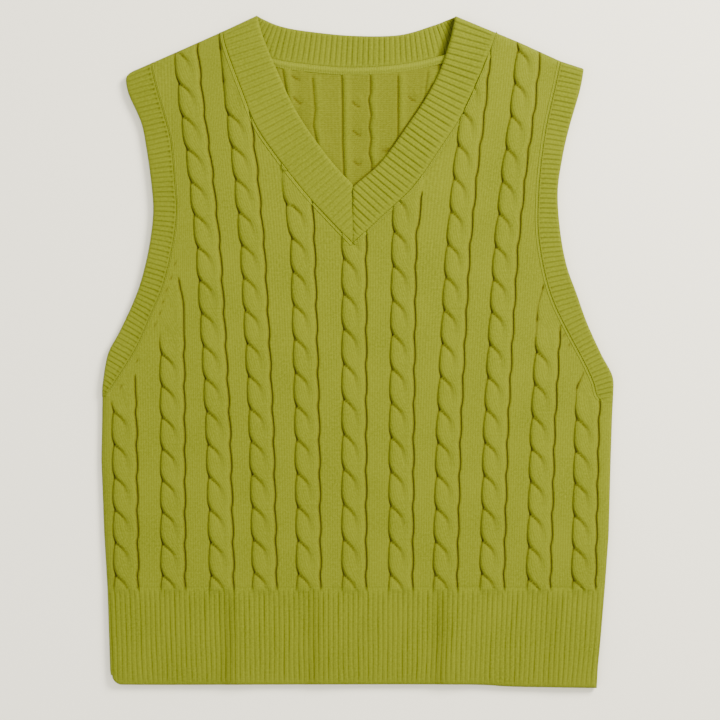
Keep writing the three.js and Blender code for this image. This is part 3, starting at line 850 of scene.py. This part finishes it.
@dataclass(frozen=True)
class Ribbing:
    """A profile of ribs. A rib's share runs from one furrow to the next."""

    pitch: float
    crest: float
    depth: float
    narrow: float = 0.45
    # How much painted shade the furrows get
    furrow_shade: float = 0.5
    wales: int = 2
    samples: tuple[float, ...] = (0.0, 0.05, 0.12, 0.22, 0.36, 0.5, 0.64, 0.78, 0.88, 0.95)

    def stations(self, length: float) -> tuple[np.ndarray, float]:
        """Places along a band that follow its furrows, and the ribs' even spacing."""
        count = max(1, round(length / self.pitch))
        step = length / count
        places = [(i + share) * step for i in range(count) for share in self.samples]
        return np.array(places + [length]), step

    def furrow(self, place: np.ndarray, step: float, seed: int) -> np.ndarray:
        """How deep into a furrow each place is, from 0 to about 1, uneven from rib to rib."""
        turns = place / step
        off = np.abs(turns - np.round(turns)) * 2.0
        uneven = np.random.default_rng(seed).uniform(0.78, 1.15, 600)
        return uneven[np.round(turns).astype(int) % 600] * ease(1.0 - off, self.narrow, 1.0)

    def stitches(self, place: np.ndarray, step: float) -> np.ndarray:
        """Places across the wales, so that each rib has whole ones."""
        return place / step * self.wales * WoolKnit.wale


LEFT_NECK_RIB = Ribbing(pitch=5.1, crest=3.5, depth=0.5, narrow=0.55, furrow_shade=0.22)
RIGHT_NECK_RIB = Ribbing(pitch=5.2, crest=3.5, depth=0.7, narrow=0.42, furrow_shade=0.42)
BACK_NECK_RIB = Ribbing(pitch=4.6, crest=3.0, depth=0.65, narrow=0.45, furrow_shade=0.4)
ARM_RIB = Ribbing(pitch=4.2, crest=3.5, depth=0.6, narrow=0.12, furrow_shade=0.3)
HEM_RIB = Ribbing(
    pitch=4.25,
    crest=3.45,
    depth=0.65,
    narrow=0.5,
    furrow_shade=0.46,
    samples=(0.0, 0.07, 0.16, 0.3, 0.5, 0.7, 0.84, 0.93),
)


def dress(piece: bpy.types.Object, slot: str, *nodes: str) -> bpy.types.Object:
    """Rides a piece on the vest and lets it stand for its nodes."""
    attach(piece, "root")
    if nodes:
        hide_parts(*nodes)
    LOG.info("%s: %d faces", piece.name, len(piece.data.polygons))
    return piece


def fold_lines() -> list[np.ndarray]:
    """The folded edges: both side seams and both shoulders."""
    y = column(SIDES, 0)
    return [
        np.stack([column(SIDES, 1), y], 1),
        np.stack([column(SIDES, 2), y], 1),
        np.array(LEFT_SHOULDER),
        np.array(RIGHT_SHOULDER),
    ]


def fold_distance(x: np.ndarray, y: np.ndarray) -> np.ndarray:
    """The distance to the nearest folded edge."""
    best = np.full(x.shape, 1e9)
    for line in fold_lines():
        best = np.minimum(best, distance_to(x, y, line))
    return best


def in_halves(
    lines: list[np.ndarray],
    start: list[np.ndarray],
    end: list[np.ndarray],
    spans: tuple[np.ndarray, ...],
    row: int,
    split: float,
) -> tuple[np.ndarray, int]:
    """A panel's grid from its lines, cut to the outline on either side of the neck.

    Args:
        lines: Lines up the body, each line's x at each row.
        start: More lines at the left edge.
        end: More lines at the right edge.
        spans: Each row's ends: left, the neck's left and right, and right.
        row: The row that tells which side of the neck a line is on.
        split: The neck's middle.

    Returns:
        Each grid point's x, rows by columns, and the column after which there is no cloth.
    """
    left, neck_left, neck_right, right = spans
    on_left = [line for line in lines if line[row] < split - 0.3]
    on_right = [line for line in lines if line[row] > split + 0.3]
    halves = []
    for part, a, b in ((start + on_left, left, neck_left), (on_right + end, neck_right, right)):
        halves.append(np.sort(np.clip(np.stack(part, 1), a[:, None], b[:, None]), axis=1))
    columns = [halves[0], neck_left[:, None], neck_right[:, None], halves[1]]
    return np.concatenate(columns, 1), halves[0].shape[1]


@dataclass(frozen=True)
class FrontPanel:
    """The front: plain knitting with eleven cables, cut to the armholes and the V."""

    row_step: float = 1.5
    inner: int = 13
    plain: int = 3
    roll: float = 7.0
    dip: float = 0.7
    # The height of a row that the V doesn't reach
    below_neck: float = 90.0
    flat: tuple[float, float] = (0.441, 0.479)
    area: float = 0.165
    knit: CableKnit = CableKnit()
    # Fashioning marks beside the armholes, where stitches are knitted together, as small dents
    # with painted shade in them: x, y
    marks: Rows = (
        (-157.0, 75.7), (-160.4, 63.6), (-164.3, 53.3), (-167.3, 43.0), (-169.9, 33.5), (-174.2, 23.2),
        (-189.6, -7.7), (-203.4, -30.1), (177.6, 14.6), (181.9, 6.0), (174.2, 21.5),
    )

    def outline(self) -> Outline:
        """The front's outline, with the V."""
        left, right = BandPath(NECK_LEFT).seam(300), BandPath(NECK_RIGHT).seam(300)
        return Outline(left[left[:, 0] <= MITRE_X + 1], right[right[:, 0] >= MITRE_X - 1], MITRE_X)

    def top(self, x: np.ndarray, y: np.ndarray) -> tuple[np.ndarray, np.ndarray, np.ndarray]:
        """The upper surface's height, shade and wales at each place."""
        relief, shade, wale = self.knit.relief(x, y)
        height = PLAIN_TOP + lie(x, y) + relief
        for rows in (LEFT_ARMHOLE, RIGHT_ARMHOLE, NECK_LEFT, NECK_RIGHT):
            line = BandPath(rows).seam(60)
            dip = self.dip * hump(distance_to(x, y, line), 1.4)
            height = height - dip * ease(y, line[-1, 1] + 1.0, line[-1, 1] + 9.0)
        # Each mark is a dent with painted shade in it
        for at_x, at_y in self.marks:
            near = np.hypot(x - at_x - 0.5 * (y - at_y), 0.5 * (y - at_y))
            height, shade = height - 0.5 * hump(near, 1.0), np.maximum(shade, 0.75 * hump(near, 0.9))
        height = FOLD_TOP + (height - FOLD_TOP) * rounded(fold_distance(x, y) / self.roll)
        return np.maximum(height, FOLD_TOP), shade, wale

    def build(self, finish: bpy.types.Material) -> bpy.types.Object:
        low, high = HEM_TOP, LEFT_SHOULDER[3][1]
        y = np.linspace(low, high, round((high - low) / self.row_step) + 1)
        lines = self.knit.columns(y, self.inner, self.plain)
        spans = self.outline().spans(y)
        for at_x, at_y in self.marks:
            lines += [at_x + off + 0.5 * np.clip(y - at_y, -3.0, 3.0) for off in (-1.2, -0.4, 0.4, 1.2)]
        start = [spans[0] + off for off in (0.0, 0.6, 1.6, 3.2, 5.5)]
        end = [spans[3] - off for off in (5.5, 3.2, 1.6, 0.6, 0.0)]
        row = int(np.argmin(np.abs(y - self.below_neck)))
        x, opening = in_halves(lines, start, end, spans, row, MITRE_X)
        rows = np.broadcast_to(y[:, None], x.shape)
        height, shade, wale = self.top(x, rows)
        cloth = ClothMesh()
        cloth.shell(x, rows, height, FRONT_LOW, np.stack([wale, rows], -1), shade, opening=opening)
        piece = dress(cloth.make("front_panel_knit", [finish]), "panel_knit", "front_panel")
        return piece


@dataclass(frozen=True)
class BackPanel:
    """The back: its inside shows in the neck, and its outside lies on the surface."""

    row_step: float = 3.2
    fine_step: float = 1.4
    shown: float = 140.0
    inner: int = 5
    plain: int = 1
    curl: float = 4.0
    pressed: float = 0.35
    # The height of a row that the neck doesn't reach
    below_neck: float = 200.0
    flat: tuple[float, float] = (0.441, 0.479)
    area: float = 0.18
    knit: CableKnit = CableKnit(mirrored=True)
    # The reverse of the cables, as the neck shows it, with painted shade down each furrow:
    # each furrow's depth, then its y and x
    furrows: tuple[tuple[float, Rows], ...] = (
        (0.7, ((205.0, -86.0), (262.0, -91.0))),
        (0.75, ((206.0, -60.5), (226.2, -61.9), (242.5, -64.7))),
        (0.8, ((160.0, -35.0), (183.2, -35.7), (195.2, -38.4), (208.5, -36.7), (235.6, -38.9))),
        (1.0, ((157.4, -12.0), (180.0, -13.0), (211.6, -13.1), (237.4, -13.7))),
        (
            1.1,
            (
                (162.5, 12.1), (171.1, 9.9), (184.0, 11.6), (193.5, 9.9), (203.8, 11.6), (217.6, 9.4),
                (222.7, 11.0), (237.4, 11.0),
            ),
        ),
        (1.0, ((183.0, 34.7), (237.4, 34.7))),
        (0.6, ((205.0, 57.5), (226.2, 58.7), (240.8, 60.4))),
        (0.7, ((205.0, 83.0), (262.0, 88.0))),
    )
    # Where the reverse of a crossing pulls a short hook into the cloth, with painted shade in it
    hooks: tuple[Rows, ...] = (
        ((-4.3, 215.7), (-2.2, 212.9), (1.2, 211.3)),
        ((-4.3, 190.9), (-0.4, 187.7), (2.2, 186.6)),
        ((-3.2, 164.3), (0.1, 161.4), (2.8, 161.9)),
        ((43.9, 219.6), (46.7, 217.3), (49.5, 216.2)),
        ((-55.3, 219.6), (-50.9, 215.2), (-48.2, 213.4)),
        ((-56.5, 238.0), (-52.8, 235.2), (-50.0, 234.4)),
    )

    def outline(self) -> Outline:
        """The back's outline, with its shallow neck."""
        neck = BandPath(NECK_BACK).seam(300)
        lowest = int(np.argmin(neck[:, 1]))
        return Outline(neck[: lowest + 1], neck[lowest:], float(neck[lowest, 0]))

    def inside(self, x: np.ndarray, y: np.ndarray) -> tuple[np.ndarray, np.ndarray]:
        """The height and painted shade of the inside, with the right front band's shadow painted on."""
        height = BACK_TOP + 0.12 * np.sin(x / 23.0 + y / 37.0)
        shade, raised = np.zeros(x.shape), np.zeros(x.shape)
        shown = ease(y, 60.0, 80.0)
        for depth, line in self.furrows:
            off = x - np.interp(y, column(line, 0), column(line, 1))
            here = shown * (1.0 - ease(y, line[-1][0] - 1.0, line[-1][0] + 4.0))
            height = height - here * depth * hump(off, 1.1)
            raised = np.maximum(raised, here * hump(off - 4.2, 3.0))
            shade = np.maximum(shade, 0.75 * here * depth * hump(off, 0.9))
        # Painted shade in the lower ground outside the pale raised columns
        height, shade = height + 0.8 * raised, np.maximum(shade, 0.16 * shown * (1.0 - raised))
        for hook in self.hooks:
            line = np.array(hook)
            near = distance_to(x, y, line)
            height = height - 0.8 * hump(near, 0.9)
            shade = np.maximum(shade, 0.9 * hump(near, 0.9))
            loop = line[1] + (4.2, 5.4)
            height = height + 0.7 * hump(np.hypot(x - loop[0], y - loop[1]), 2.4)
        # A painted shadow that the right front band casts along its free edge, over a shallow dip
        shadow = distance_to(x, y, BandPath(NECK_RIGHT).edge(120))
        return height - 0.6 * hump(shadow, 1.5), np.maximum(shade, 0.95 * hump(shadow, 1.5))

    def outside(self, x: np.ndarray, y: np.ndarray) -> tuple[np.ndarray, np.ndarray, np.ndarray]:
        """The height, shade and wales of the outside, pressed flat by what lies on it."""
        relief, shade, wale = self.knit.relief(x, y)
        height = np.clip(0.62 - self.pressed * relief, 0.0, 1.3)
        edge = rounded(fold_distance(x, y) / self.curl)
        return 2.5 + (height - 2.5) * edge, shade, wale

    @staticmethod
    def _merged(line: np.ndarray, lines: list[np.ndarray], hidden: np.ndarray) -> np.ndarray:
        """A line that runs in the next line to its left where it is hidden, so that it costs no faces."""
        all_x = np.stack(lines, 1)
        left = np.where(all_x <= line[:, None], all_x, -np.inf).max(axis=1)
        return np.where(hidden & np.isfinite(left), left, line)

    def build(self, knit: bpy.types.Material, purl: bpy.types.Material) -> bpy.types.Object:
        low, high, shown = HEM_TOP, LEFT_SHOULDER[3][1], self.shown
        under = np.linspace(low, shown, round((shown - low) / self.row_step), endpoint=False)
        y = np.concatenate([under, np.linspace(shown, high, round((high - shown) / self.fine_step) + 1)])
        lines = self.knit.columns(y, self.inner, self.plain)
        fine = []
        for _, line in self.furrows:
            at = np.interp(y, column(line, 0), column(line, 1))
            fine += [at + off for off in (-1.2, -0.4, 0.0, 0.4, 1.2, 3.0, 5.0)]
        for start_x in sorted({round(hook[0][0] / 10.0) * 10.0 for hook in self.hooks}):
            fine += [np.full(y.shape, start_x + off) for off in np.arange(-6.0, 11.0, 1.1)]
        lines += [self._merged(line, lines, y < shown) for line in fine]
        outline = self.outline()
        spans = outline.spans(y)
        start = [spans[0] + off for off in (0.0, 0.8, 2.4)]
        end = [spans[3] - off for off in (2.4, 0.8, 0.0)]
        row = int(np.argmin(np.abs(y - self.below_neck)))
        x, opening = in_halves(lines, start, end, spans, row, outline.middle)
        rows = np.broadcast_to(y[:, None], x.shape)
        top, top_shade = self.inside(x, rows)
        low_z, low_shade, wale = self.outside(x, rows)
        cloth = ClothMesh()
        cloth.shell(
            x, rows, top, low_z, np.stack([wale, rows], -1), top_shade,
            opening=opening, slots=(1, 0), low_shade=low_shade,
        )
        piece = dress(cloth.make("back_panel_knit", [knit, purl]), "panel_knit", "back_panel")
        return piece


@dataclass(frozen=True)
class HemRib:
    """The ribbing below the front or the back, knitted on in one with its panel."""

    front: bool = True
    fade: float = 5.0
    roll: float = 3.6
    corner: float = 8.0
    flat: tuple[float, float] = (0.432, 0.0845)
    knit: CableKnit = CableKnit()
    # Soft waves that the ribbing has sprung into: x of the steep side, its lift
    waves: Rows = ((-110.0, 1.5), (-36.5, 1.0), (71.5, 1.5), (168.0, 0.5))
    across: tuple[float, ...] = (
        0.0, 0.007, 0.0143, 0.028, 0.05, 0.09, 0.16, 0.26, 0.37, 0.48, 0.59, 0.7, 0.8, 0.88, 0.93, 0.96, 0.98,
        0.993, 1.0,
    )
    # How far the ribbing reaches up under the panel's edge, and how far it lies below the panel
    # at its own edge and above it past the panel's
    tuck: float = 1.2
    sunk: float = 0.07
    # How far the ribs stand above the panel, and how much painted shade the waves' steep sides get
    bulge: float = 0.5
    valley_shade: float = 0.24

    def wave(self, x: np.ndarray, y: np.ndarray) -> np.ndarray:
        """The waves' lift, which fades out towards the panel."""
        lift = np.zeros(x.shape)
        for at, height in self.waves:
            lean = at + 0.03 * (y + 240.0)
            steep, gentle = ease(x, lean - 9.0, lean + 7.0), ease(x, lean + 7.0, lean + 36.0)
            lift = lift + height * steep * (1.0 - gentle)
        return lift * (0.35 * ease(HEM_TOP - y, 0.0, 6.0) + 0.65 * ease(HEM_TOP - y, 0.0, 30.0))

    def build(self, finish: bpy.types.Material) -> bpy.types.Object:
        path = BandPath(HEM)
        places, step = HEM_RIB.stations(path.length)
        seam, edge = path.lines(places)
        share = np.array(self.across)[:, None]
        drift = 0.35 * np.sin(places[None, :] / 23.0 + share * 5.0)
        drift = drift + 0.25 * np.sin(places[None, :] / 7.0 + share * 9.0)
        x = seam[None, :, 0] * (1 - share) + edge[None, :, 0] * share + drift * share
        y = (seam[None, :, 1] + self.tuck) * (1 - share) + edge[None, :, 1] * share
        inner = np.clip(-(x + 211.0 - self.corner), 0.0, self.corner)
        y = y + share**8 * (self.corner - np.sqrt(self.corner**2 - inner**2))
        left = np.interp(y, column(SIDES, 0), column(SIDES, 1))
        right = np.interp(y, column(SIDES, 0), column(SIDES, 2))
        x = np.clip(x, left, right)
        rib = np.round(places / step)[None, :]
        uneven = 0.9 + 0.16 * np.sin(share * 7.0 + rib * 2.1) + 0.1 * np.sin(share * 19.0 + rib * 3.7)
        furrow = HEM_RIB.furrow(places, step, 3)[None, :] * uneven
        below = HEM_TOP - y
        width = np.hypot(*(edge - seam).T)[None, :]
        to_edge = (1 - share) * width
        ribbed = ease(below, 0.0, self.fade) * ease(to_edge, 1.0, 5.5)
        relief, cable_shade, _ = self.knit.relief(x, y)
        left_over = 1.0 - ease(below, 0.0, self.fade)
        roll = rounded(to_edge / self.roll)
        folded = rounded(fold_distance(x, y) / 6.0)
        stitch = np.stack([np.broadcast_to(HEM_RIB.stitches(places, step)[None, :], x.shape), y], -1)
        # Painted shade on each wave's steep side, where the dark band falls
        wave_shade = np.zeros(x.shape)
        for at, height in self.waves:
            here = hump(x - at - 0.03 * (y + 240.0), 6.0) * ease(below, 0.0, 14.0)
            wave_shade = np.maximum(wave_shade, height / self.waves[0][1] * here)
        # Painted shade in the rib furrows, the cables' grooves and on the waves' steep sides
        shade = HEM_RIB.furrow_shade * furrow * ribbed + cable_shade * left_over
        shade = np.clip(shade + self.valley_shade * wave_shade, 0, 1)
        cloth = ClothMesh()
        if self.front:
            top = PLAIN_TOP + lie(x, y) + self.bulge * ease(below, 0.0, self.fade)
            top = top - HEM_RIB.depth * furrow * ribbed + relief * left_over + self.wave(x, y)
            top = top + self.sunk * np.clip(2.0 * below / self.tuck + 1.0, -1.0, 1.0)
            top = FOLD_TOP + (top - FOLD_TOP) * np.minimum(folded, 0.25 + 0.75 * roll)
            cloth.shell(x, y, top, FRONT_LOW, stitch, shade)
            piece = dress(cloth.make("front_hem_rib", [finish]), "rib_knit", "front_hem")
            return piece
        low = 0.1 + 0.75 * furrow * ribbed
        low = 2.4 + (low - 2.4) * np.minimum(rounded(fold_distance(x, y) / 4.0), 0.3 + 0.7 * roll)
        top = np.full(x.shape, BACK_TOP) - 0.5 * (1 - roll)
        cloth.shell(x, y, top, low, stitch, np.zeros(x.shape), low_shade=shade)
        piece = dress(cloth.make("back_hem_rib", [finish]), "rib_knit", "back_hem")
        return piece


@dataclass(frozen=True)
class Strip:
    """A strip of ribbing along a band's path."""

    rows: Rows
    rib: Ribbing
    low: float
    seed: int
    mitre_side: int = 0
    seam: float = 0.4
    clear: float = 1.4
    dots: float = 0.25
    fade_end: float = 0.0
    corner: float = 0.0
    lift: float = 0.0
    # How far from the right front band's free edge a dip with that band's painted shadow reaches
    hollow: float = 0.0
    roll: float = 2.8
    across: tuple[float, ...] = (
        0.0, 0.02, 0.05, 0.09, 0.16, 0.28, 0.42, 0.56, 0.7, 0.81, 0.88, 0.93, 0.97, 0.99, 1.0,
    )

    def _ends(self, path: BandPath, share: np.ndarray) -> np.ndarray:
        """How far along each line across the strip it is cut off at the mitre."""
        reach = np.full(share.shape, path.length)
        if not self.mitre_side:
            return reach
        places = np.linspace(0.0, path.length, 3000)
        seam, edge = path.lines(places)
        for n, s in enumerate(share):
            x = seam[:, 0] * (1 - s) + edge[:, 0] * s
            reach[n] = places[np.argmax((x - MITRE_X) * self.mitre_side >= 0)]
        return reach

    def lay(self, cloth: ClothMesh, upper: bool) -> None:
        """Adds the strip to the cloth.

        Args:
            cloth: What it is added to.
            upper: True where its ribs face up, and False where they face the surface below.
        """
        path = BandPath(self.rows)
        places, step = self.rib.stations(path.length)
        share = np.array(self.across)
        reach = self._ends(path, share)
        first_width = float(np.hypot(*(path.edge_rows[0] - path.seam_rows[0])))
        past = np.clip(share * first_width - first_width + self.corner, 0.0, self.corner)
        begin = self.corner - np.sqrt(self.corner**2 - past**2)
        along = np.clip(places[None, :], begin[:, None], reach[:, None])
        seam, edge = path.lines(along.ravel())
        s = np.repeat(share, len(places))
        x = (seam[:, 0] * (1 - s) + edge[:, 0] * s).reshape(along.shape)
        y = (seam[:, 1] * (1 - s) + edge[:, 1] * s).reshape(along.shape)
        width = np.hypot(*(edge - seam).T).reshape(along.shape)
        across = share[:, None] * width
        to_edge = width - across
        furrow = self.rib.furrow(along, step, self.seed)
        ribbed = ease(across, self.clear, self.clear + 2.0) * (0.45 + 0.55 * ease(to_edge, 0.6, 3.2))
        thick = self.rib.crest + self.lift * ease(across / width, 0.3, 1.0)
        dent = self.seam * hump(across, 0.75)
        if self.fade_end:
            kept = ease(path.length - along, 1.0, self.fade_end)
            ribbed, dent, thick = ribbed * kept, dent * kept, thick - 0.45 * (1.0 - kept)
        if self.mitre_side:
            dent = dent + 0.4 * hump(x - MITRE_X, 0.8)
        # Painted shade in dots at the furrows' ends beside the seam
        dot = self.dots * hump(across - self.clear - 0.6, 0.8) * furrow
        round_edge = 0.3 + 0.7 * rounded(to_edge / self.roll)
        folded = rounded(fold_distance(x, y) / 6.0)
        stitch = np.stack([self.rib.stitches(along, step), across], -1)
        # Painted shade in the furrows, in the seam's dent and in the dots
        shade = np.clip(self.rib.furrow_shade * furrow * ribbed + 0.8 * dent + dot, 0, 1)
        if upper:
            swell = lie(x, y) if self.low > 1 else 0.0
            top = thick + swell - self.rib.depth * furrow * ribbed
            top = top - np.clip(1.1 * dent + 0.4 * dot, 0.0, 1.1)
            # A dip with the right front band's painted shadow beside its free edge
            if self.hollow:
                beside = distance_to(x, y, BandPath(NECK_RIGHT).edge(120))
                shadowed = 1.0 - ease(beside, 0.45 * self.hollow, self.hollow)
                top, shade = top - 1.8 * shadowed, np.maximum(shade, shadowed)
            top = self.low + 0.15 + (top - 0.15) * np.minimum(round_edge, folded)
            cloth.shell(x, y, top, self.low, stitch, shade)
            return
        low = 0.1 + 0.7 * furrow * ribbed
        low = 2.3 + (low - 2.3) * np.minimum(round_edge, folded)
        top = np.full(x.shape, BACK_TOP) - 0.4 * (1 - round_edge)
        cloth.shell(x, y, top, low, stitch, np.zeros(x.shape), low_shade=shade)


@dataclass(frozen=True)
class Linking:
    """The rows of chain stitches that join a band to its panel."""

    stitch: float = 1.9
    offsets: tuple[float, ...] = (-0.1, 0.15, 0.45, 0.75, 1.05, 1.25, 1.45, 1.75, 2.05, 2.35, 2.6)
    # Each row of stitches: how far from the seam, half its width, its rise, how much it beats
    humps: Rows = ((0.6, 0.5, 0.75, 0.28), (1.85, 0.5, 0.6, 0.28))

    def lay(
        self,
        cloth: ClothMesh,
        rows: Rows,
        surface: Callable[[np.ndarray, np.ndarray], np.ndarray],
        mitre_side: int = 0,
    ) -> None:
        """Adds one seam's stitches to the cloth.

        Args:
            cloth: What they are added to.
            rows: The band's table.
            surface: The height of the cloth that they sit on.
            mitre_side: 1 or -1 where the seam ends at the mitre, and the side that it comes from.
        """
        path = BandPath(rows)
        places = np.arange(0.0, path.length, self.stitch / 4)
        seam, edge = path.lines(places)
        if mitre_side:
            keep = (seam[:, 0] - MITRE_X) * mitre_side < 0
            places, seam, edge = places[keep], seam[keep], edge[keep]
        out = seam - edge
        out /= np.hypot(*out.T)[:, None]
        off = np.array(self.offsets)[:, None]
        x = seam[None, :, 0] + off * out[None, :, 0]
        y = seam[None, :, 1] + off * out[None, :, 1]
        if mitre_side:
            x = np.where((x - MITRE_X) * mitre_side > 0, MITRE_X, x)
        rise, bare = np.zeros(x.shape), np.ones(x.shape)
        for n, (at, half, lift, swing) in enumerate(self.humps):
            beat = 1.0 - swing + swing * np.sin(places / self.stitch * math.tau + n * 1.6)[None, :]
            rise = np.maximum(rise, lift * hump(off - at, half) * beat)
            bare = np.minimum(bare, 1.0 - hump(off - at, half) * beat)
        if rows in (LEFT_ARMHOLE, RIGHT_ARMHOLE):
            kept = ease(path.length - places, 0.0, 9.0)[None, :]
            rise, bare = rise * kept, bare * kept
        base = surface(x, y)
        # Painted shade between the rows of chain stitches
        shade = 0.45 * np.clip(bare, 0, 1)
        cloth.shell(x, y, base + rise, base - 0.5, np.stack([x, y], -1), shade)


@dataclass(frozen=True)
class Bands:
    """The neckband, both armbands and the stitches that join them on."""

    neck_flat: tuple[float, float] = (0.73, 0.032)
    arm_flat: tuple[float, float] = (0.61, 0.0195)
    # Over what length the armbands level off at the underarm
    arm_fade: float = 9.0

    def neckband(self, finish: bpy.types.Material) -> bpy.types.Object:
        """Builds the neckband's two front halves and its back."""
        cloth = ClothMesh()
        for strip in (
            Strip(NECK_LEFT, LEFT_NECK_RIB, FRONT_LOW, 11, mitre_side=1),
            Strip(NECK_RIGHT, RIGHT_NECK_RIB, FRONT_LOW, 12, mitre_side=-1, lift=1.2, clear=2.6),
            Strip(NECK_BACK, BACK_NECK_RIB, 0.0, 13, hollow=9.0),
        ):
            strip.lay(cloth, True)
        piece = dress(cloth.make("neckband_rib", [finish]), "rib_knit", "neckband")
        return piece

    def armband(
        self, side: str, rows: Rows, seed: int, corner: float, finish: bpy.types.Material
    ) -> bpy.types.Object:
        """Builds one armband, front half and back half."""
        cloth = ClothMesh()
        ends = {"fade_end": self.arm_fade, "corner": corner}
        Strip(rows, ARM_RIB, FRONT_LOW, seed, seam=0.15, dots=1.0, **ends).lay(cloth, True)
        Strip(rows, ARM_RIB, 0.0, seed + 1, **ends).lay(cloth, False)
        piece = dress(cloth.make(f"armband_{side}_rib", [finish]), "rib_knit", f"armband_{side}")
        return piece

    def linking(self, front: FrontPanel, finish: bpy.types.Material) -> list[bpy.types.Object]:
        """Builds the rows of stitches along the bands' seams."""

        def on_front(x: np.ndarray, y: np.ndarray) -> np.ndarray:
            """Just above the front."""
            return front.top(x, y)[0] + 0.1

        def on_back(x: np.ndarray, y: np.ndarray) -> np.ndarray:
            """On the inside of the back."""
            return np.full(x.shape, BACK_TOP)

        chain = Linking()
        tape = Linking(
            offsets=(-0.3, 0.1, 0.8, 1.7, 2.7, 3.6, 4.3, 4.8, 5.2, 5.6, 6.0, 6.5),
            humps=((2.4, 2.2, 0.9, 0.04), (5.7, 0.45, 0.5, 0.45)),
        )
        made = []
        for name, seams in (
            (
                "neck_linking",
                (
                    (chain, NECK_LEFT, on_front, 1),
                    (chain, NECK_RIGHT, on_front, -1),
                    (tape, NECK_BACK, on_back, 0),
                ),
            ),
            ("armhole_linking_left", ((chain, LEFT_ARMHOLE, on_front, 0),)),
            ("armhole_linking_right", ((chain, RIGHT_ARMHOLE, on_front, 0),)),
        ):
            cloth = ClothMesh()
            for stitches, rows, surface, side in seams:
                stitches.lay(cloth, rows, surface, side)
            made.append(dress(cloth.make(name, [finish]), "rib_knit"))
        return made


@dataclass(frozen=True)
class Studio:
    """The camera straight above, soft light from the upper right, and the floor."""

    lens: float = 85.0
    sensor: float = 36.0
    frame_width: float = 0.6192
    centre: tuple[float, float] = (0.00215, -0.0069)

    def camera(self) -> bpy.types.Object:
        """Makes the camera over the middle of the photograph's frame."""
        data = bpy.data.cameras.new("camera")
        data.lens, data.sensor_width = self.lens, self.sensor
        made = bpy.data.objects.new("camera", data)
        made.location = (*self.centre, self.frame_width * self.lens / self.sensor + 0.006)
        bpy.context.scene.collection.objects.link(made)
        bpy.context.scene.camera = made
        return made

    @staticmethod
    def lamp(
        name: str, place: tuple[float, float, float], size: float, power: float, colour: str
    ) -> None:
        """Makes one soft lamp that looks at the vest."""
        data = bpy.data.lights.new(name, "AREA")
        data.shape, data.size, data.energy = "DISK", size, power
        data.color = linear(colour)[:3]
        made = bpy.data.objects.new(name, data)
        made.location = place
        made.rotation_euler = (-Vector(place)).to_track_quat("-Z", "Y").to_euler()
        bpy.context.scene.collection.objects.link(made)

    def build(self) -> None:
        """Makes the camera, the lamps, the surroundings' light and the floor."""
        self.camera()
        self.lamp("key", (1.15, 1.0, 1.15), 0.8, 86.0, "#FFFBF2")
        self.lamp("fill", (-1.2, -0.9, 1.5), 1.6, 17.5, "#F6F9FF")
        world = bpy.data.worlds.new("soft_room")
        world.use_nodes = True
        world.node_tree.nodes["Background"].inputs["Color"].default_value = linear("#F7F5EF")
        world.node_tree.nodes["Background"].inputs["Strength"].default_value = 1.35
        bpy.context.scene.world = world
        PlainFloor().make()


def main() -> None:
    """Builds the vest's pieces around the frame, and lights them."""
    logging.basicConfig(level=logging.INFO, format="%(name)s: %(message)s")
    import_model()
    Studio().build()
    knit = WoolKnit().make()
    purl = WoolKnit(name="wool_purl", face=Face.PURL, relief=0.3).make()
    rib = WoolKnit(name="wool_rib", deep="#3F4104").make()
    front = FrontPanel()
    BackPanel().build(knit, purl)
    front.build(knit)
    HemRib(front=False).build(rib)
    HemRib(front=True).build(rib)
    bands = Bands()
    bands.neckband(rib)
    bands.armband("left", LEFT_ARMHOLE, 21, 7.0, rib)
    bands.armband("right", RIGHT_ARMHOLE, 31, 2.0, rib)
    # A lighter copy of the wool, as a painted highlight on the raised linking stitches
    chain = WoolKnit(
        name="wool_linking_painted_highlight", base="#6F7619", bright="#777E21", dull="#676E14", deep="#3F4104"
    ).make()
    bands.linking(front, chain)


if __name__ == "__main__":
    main()
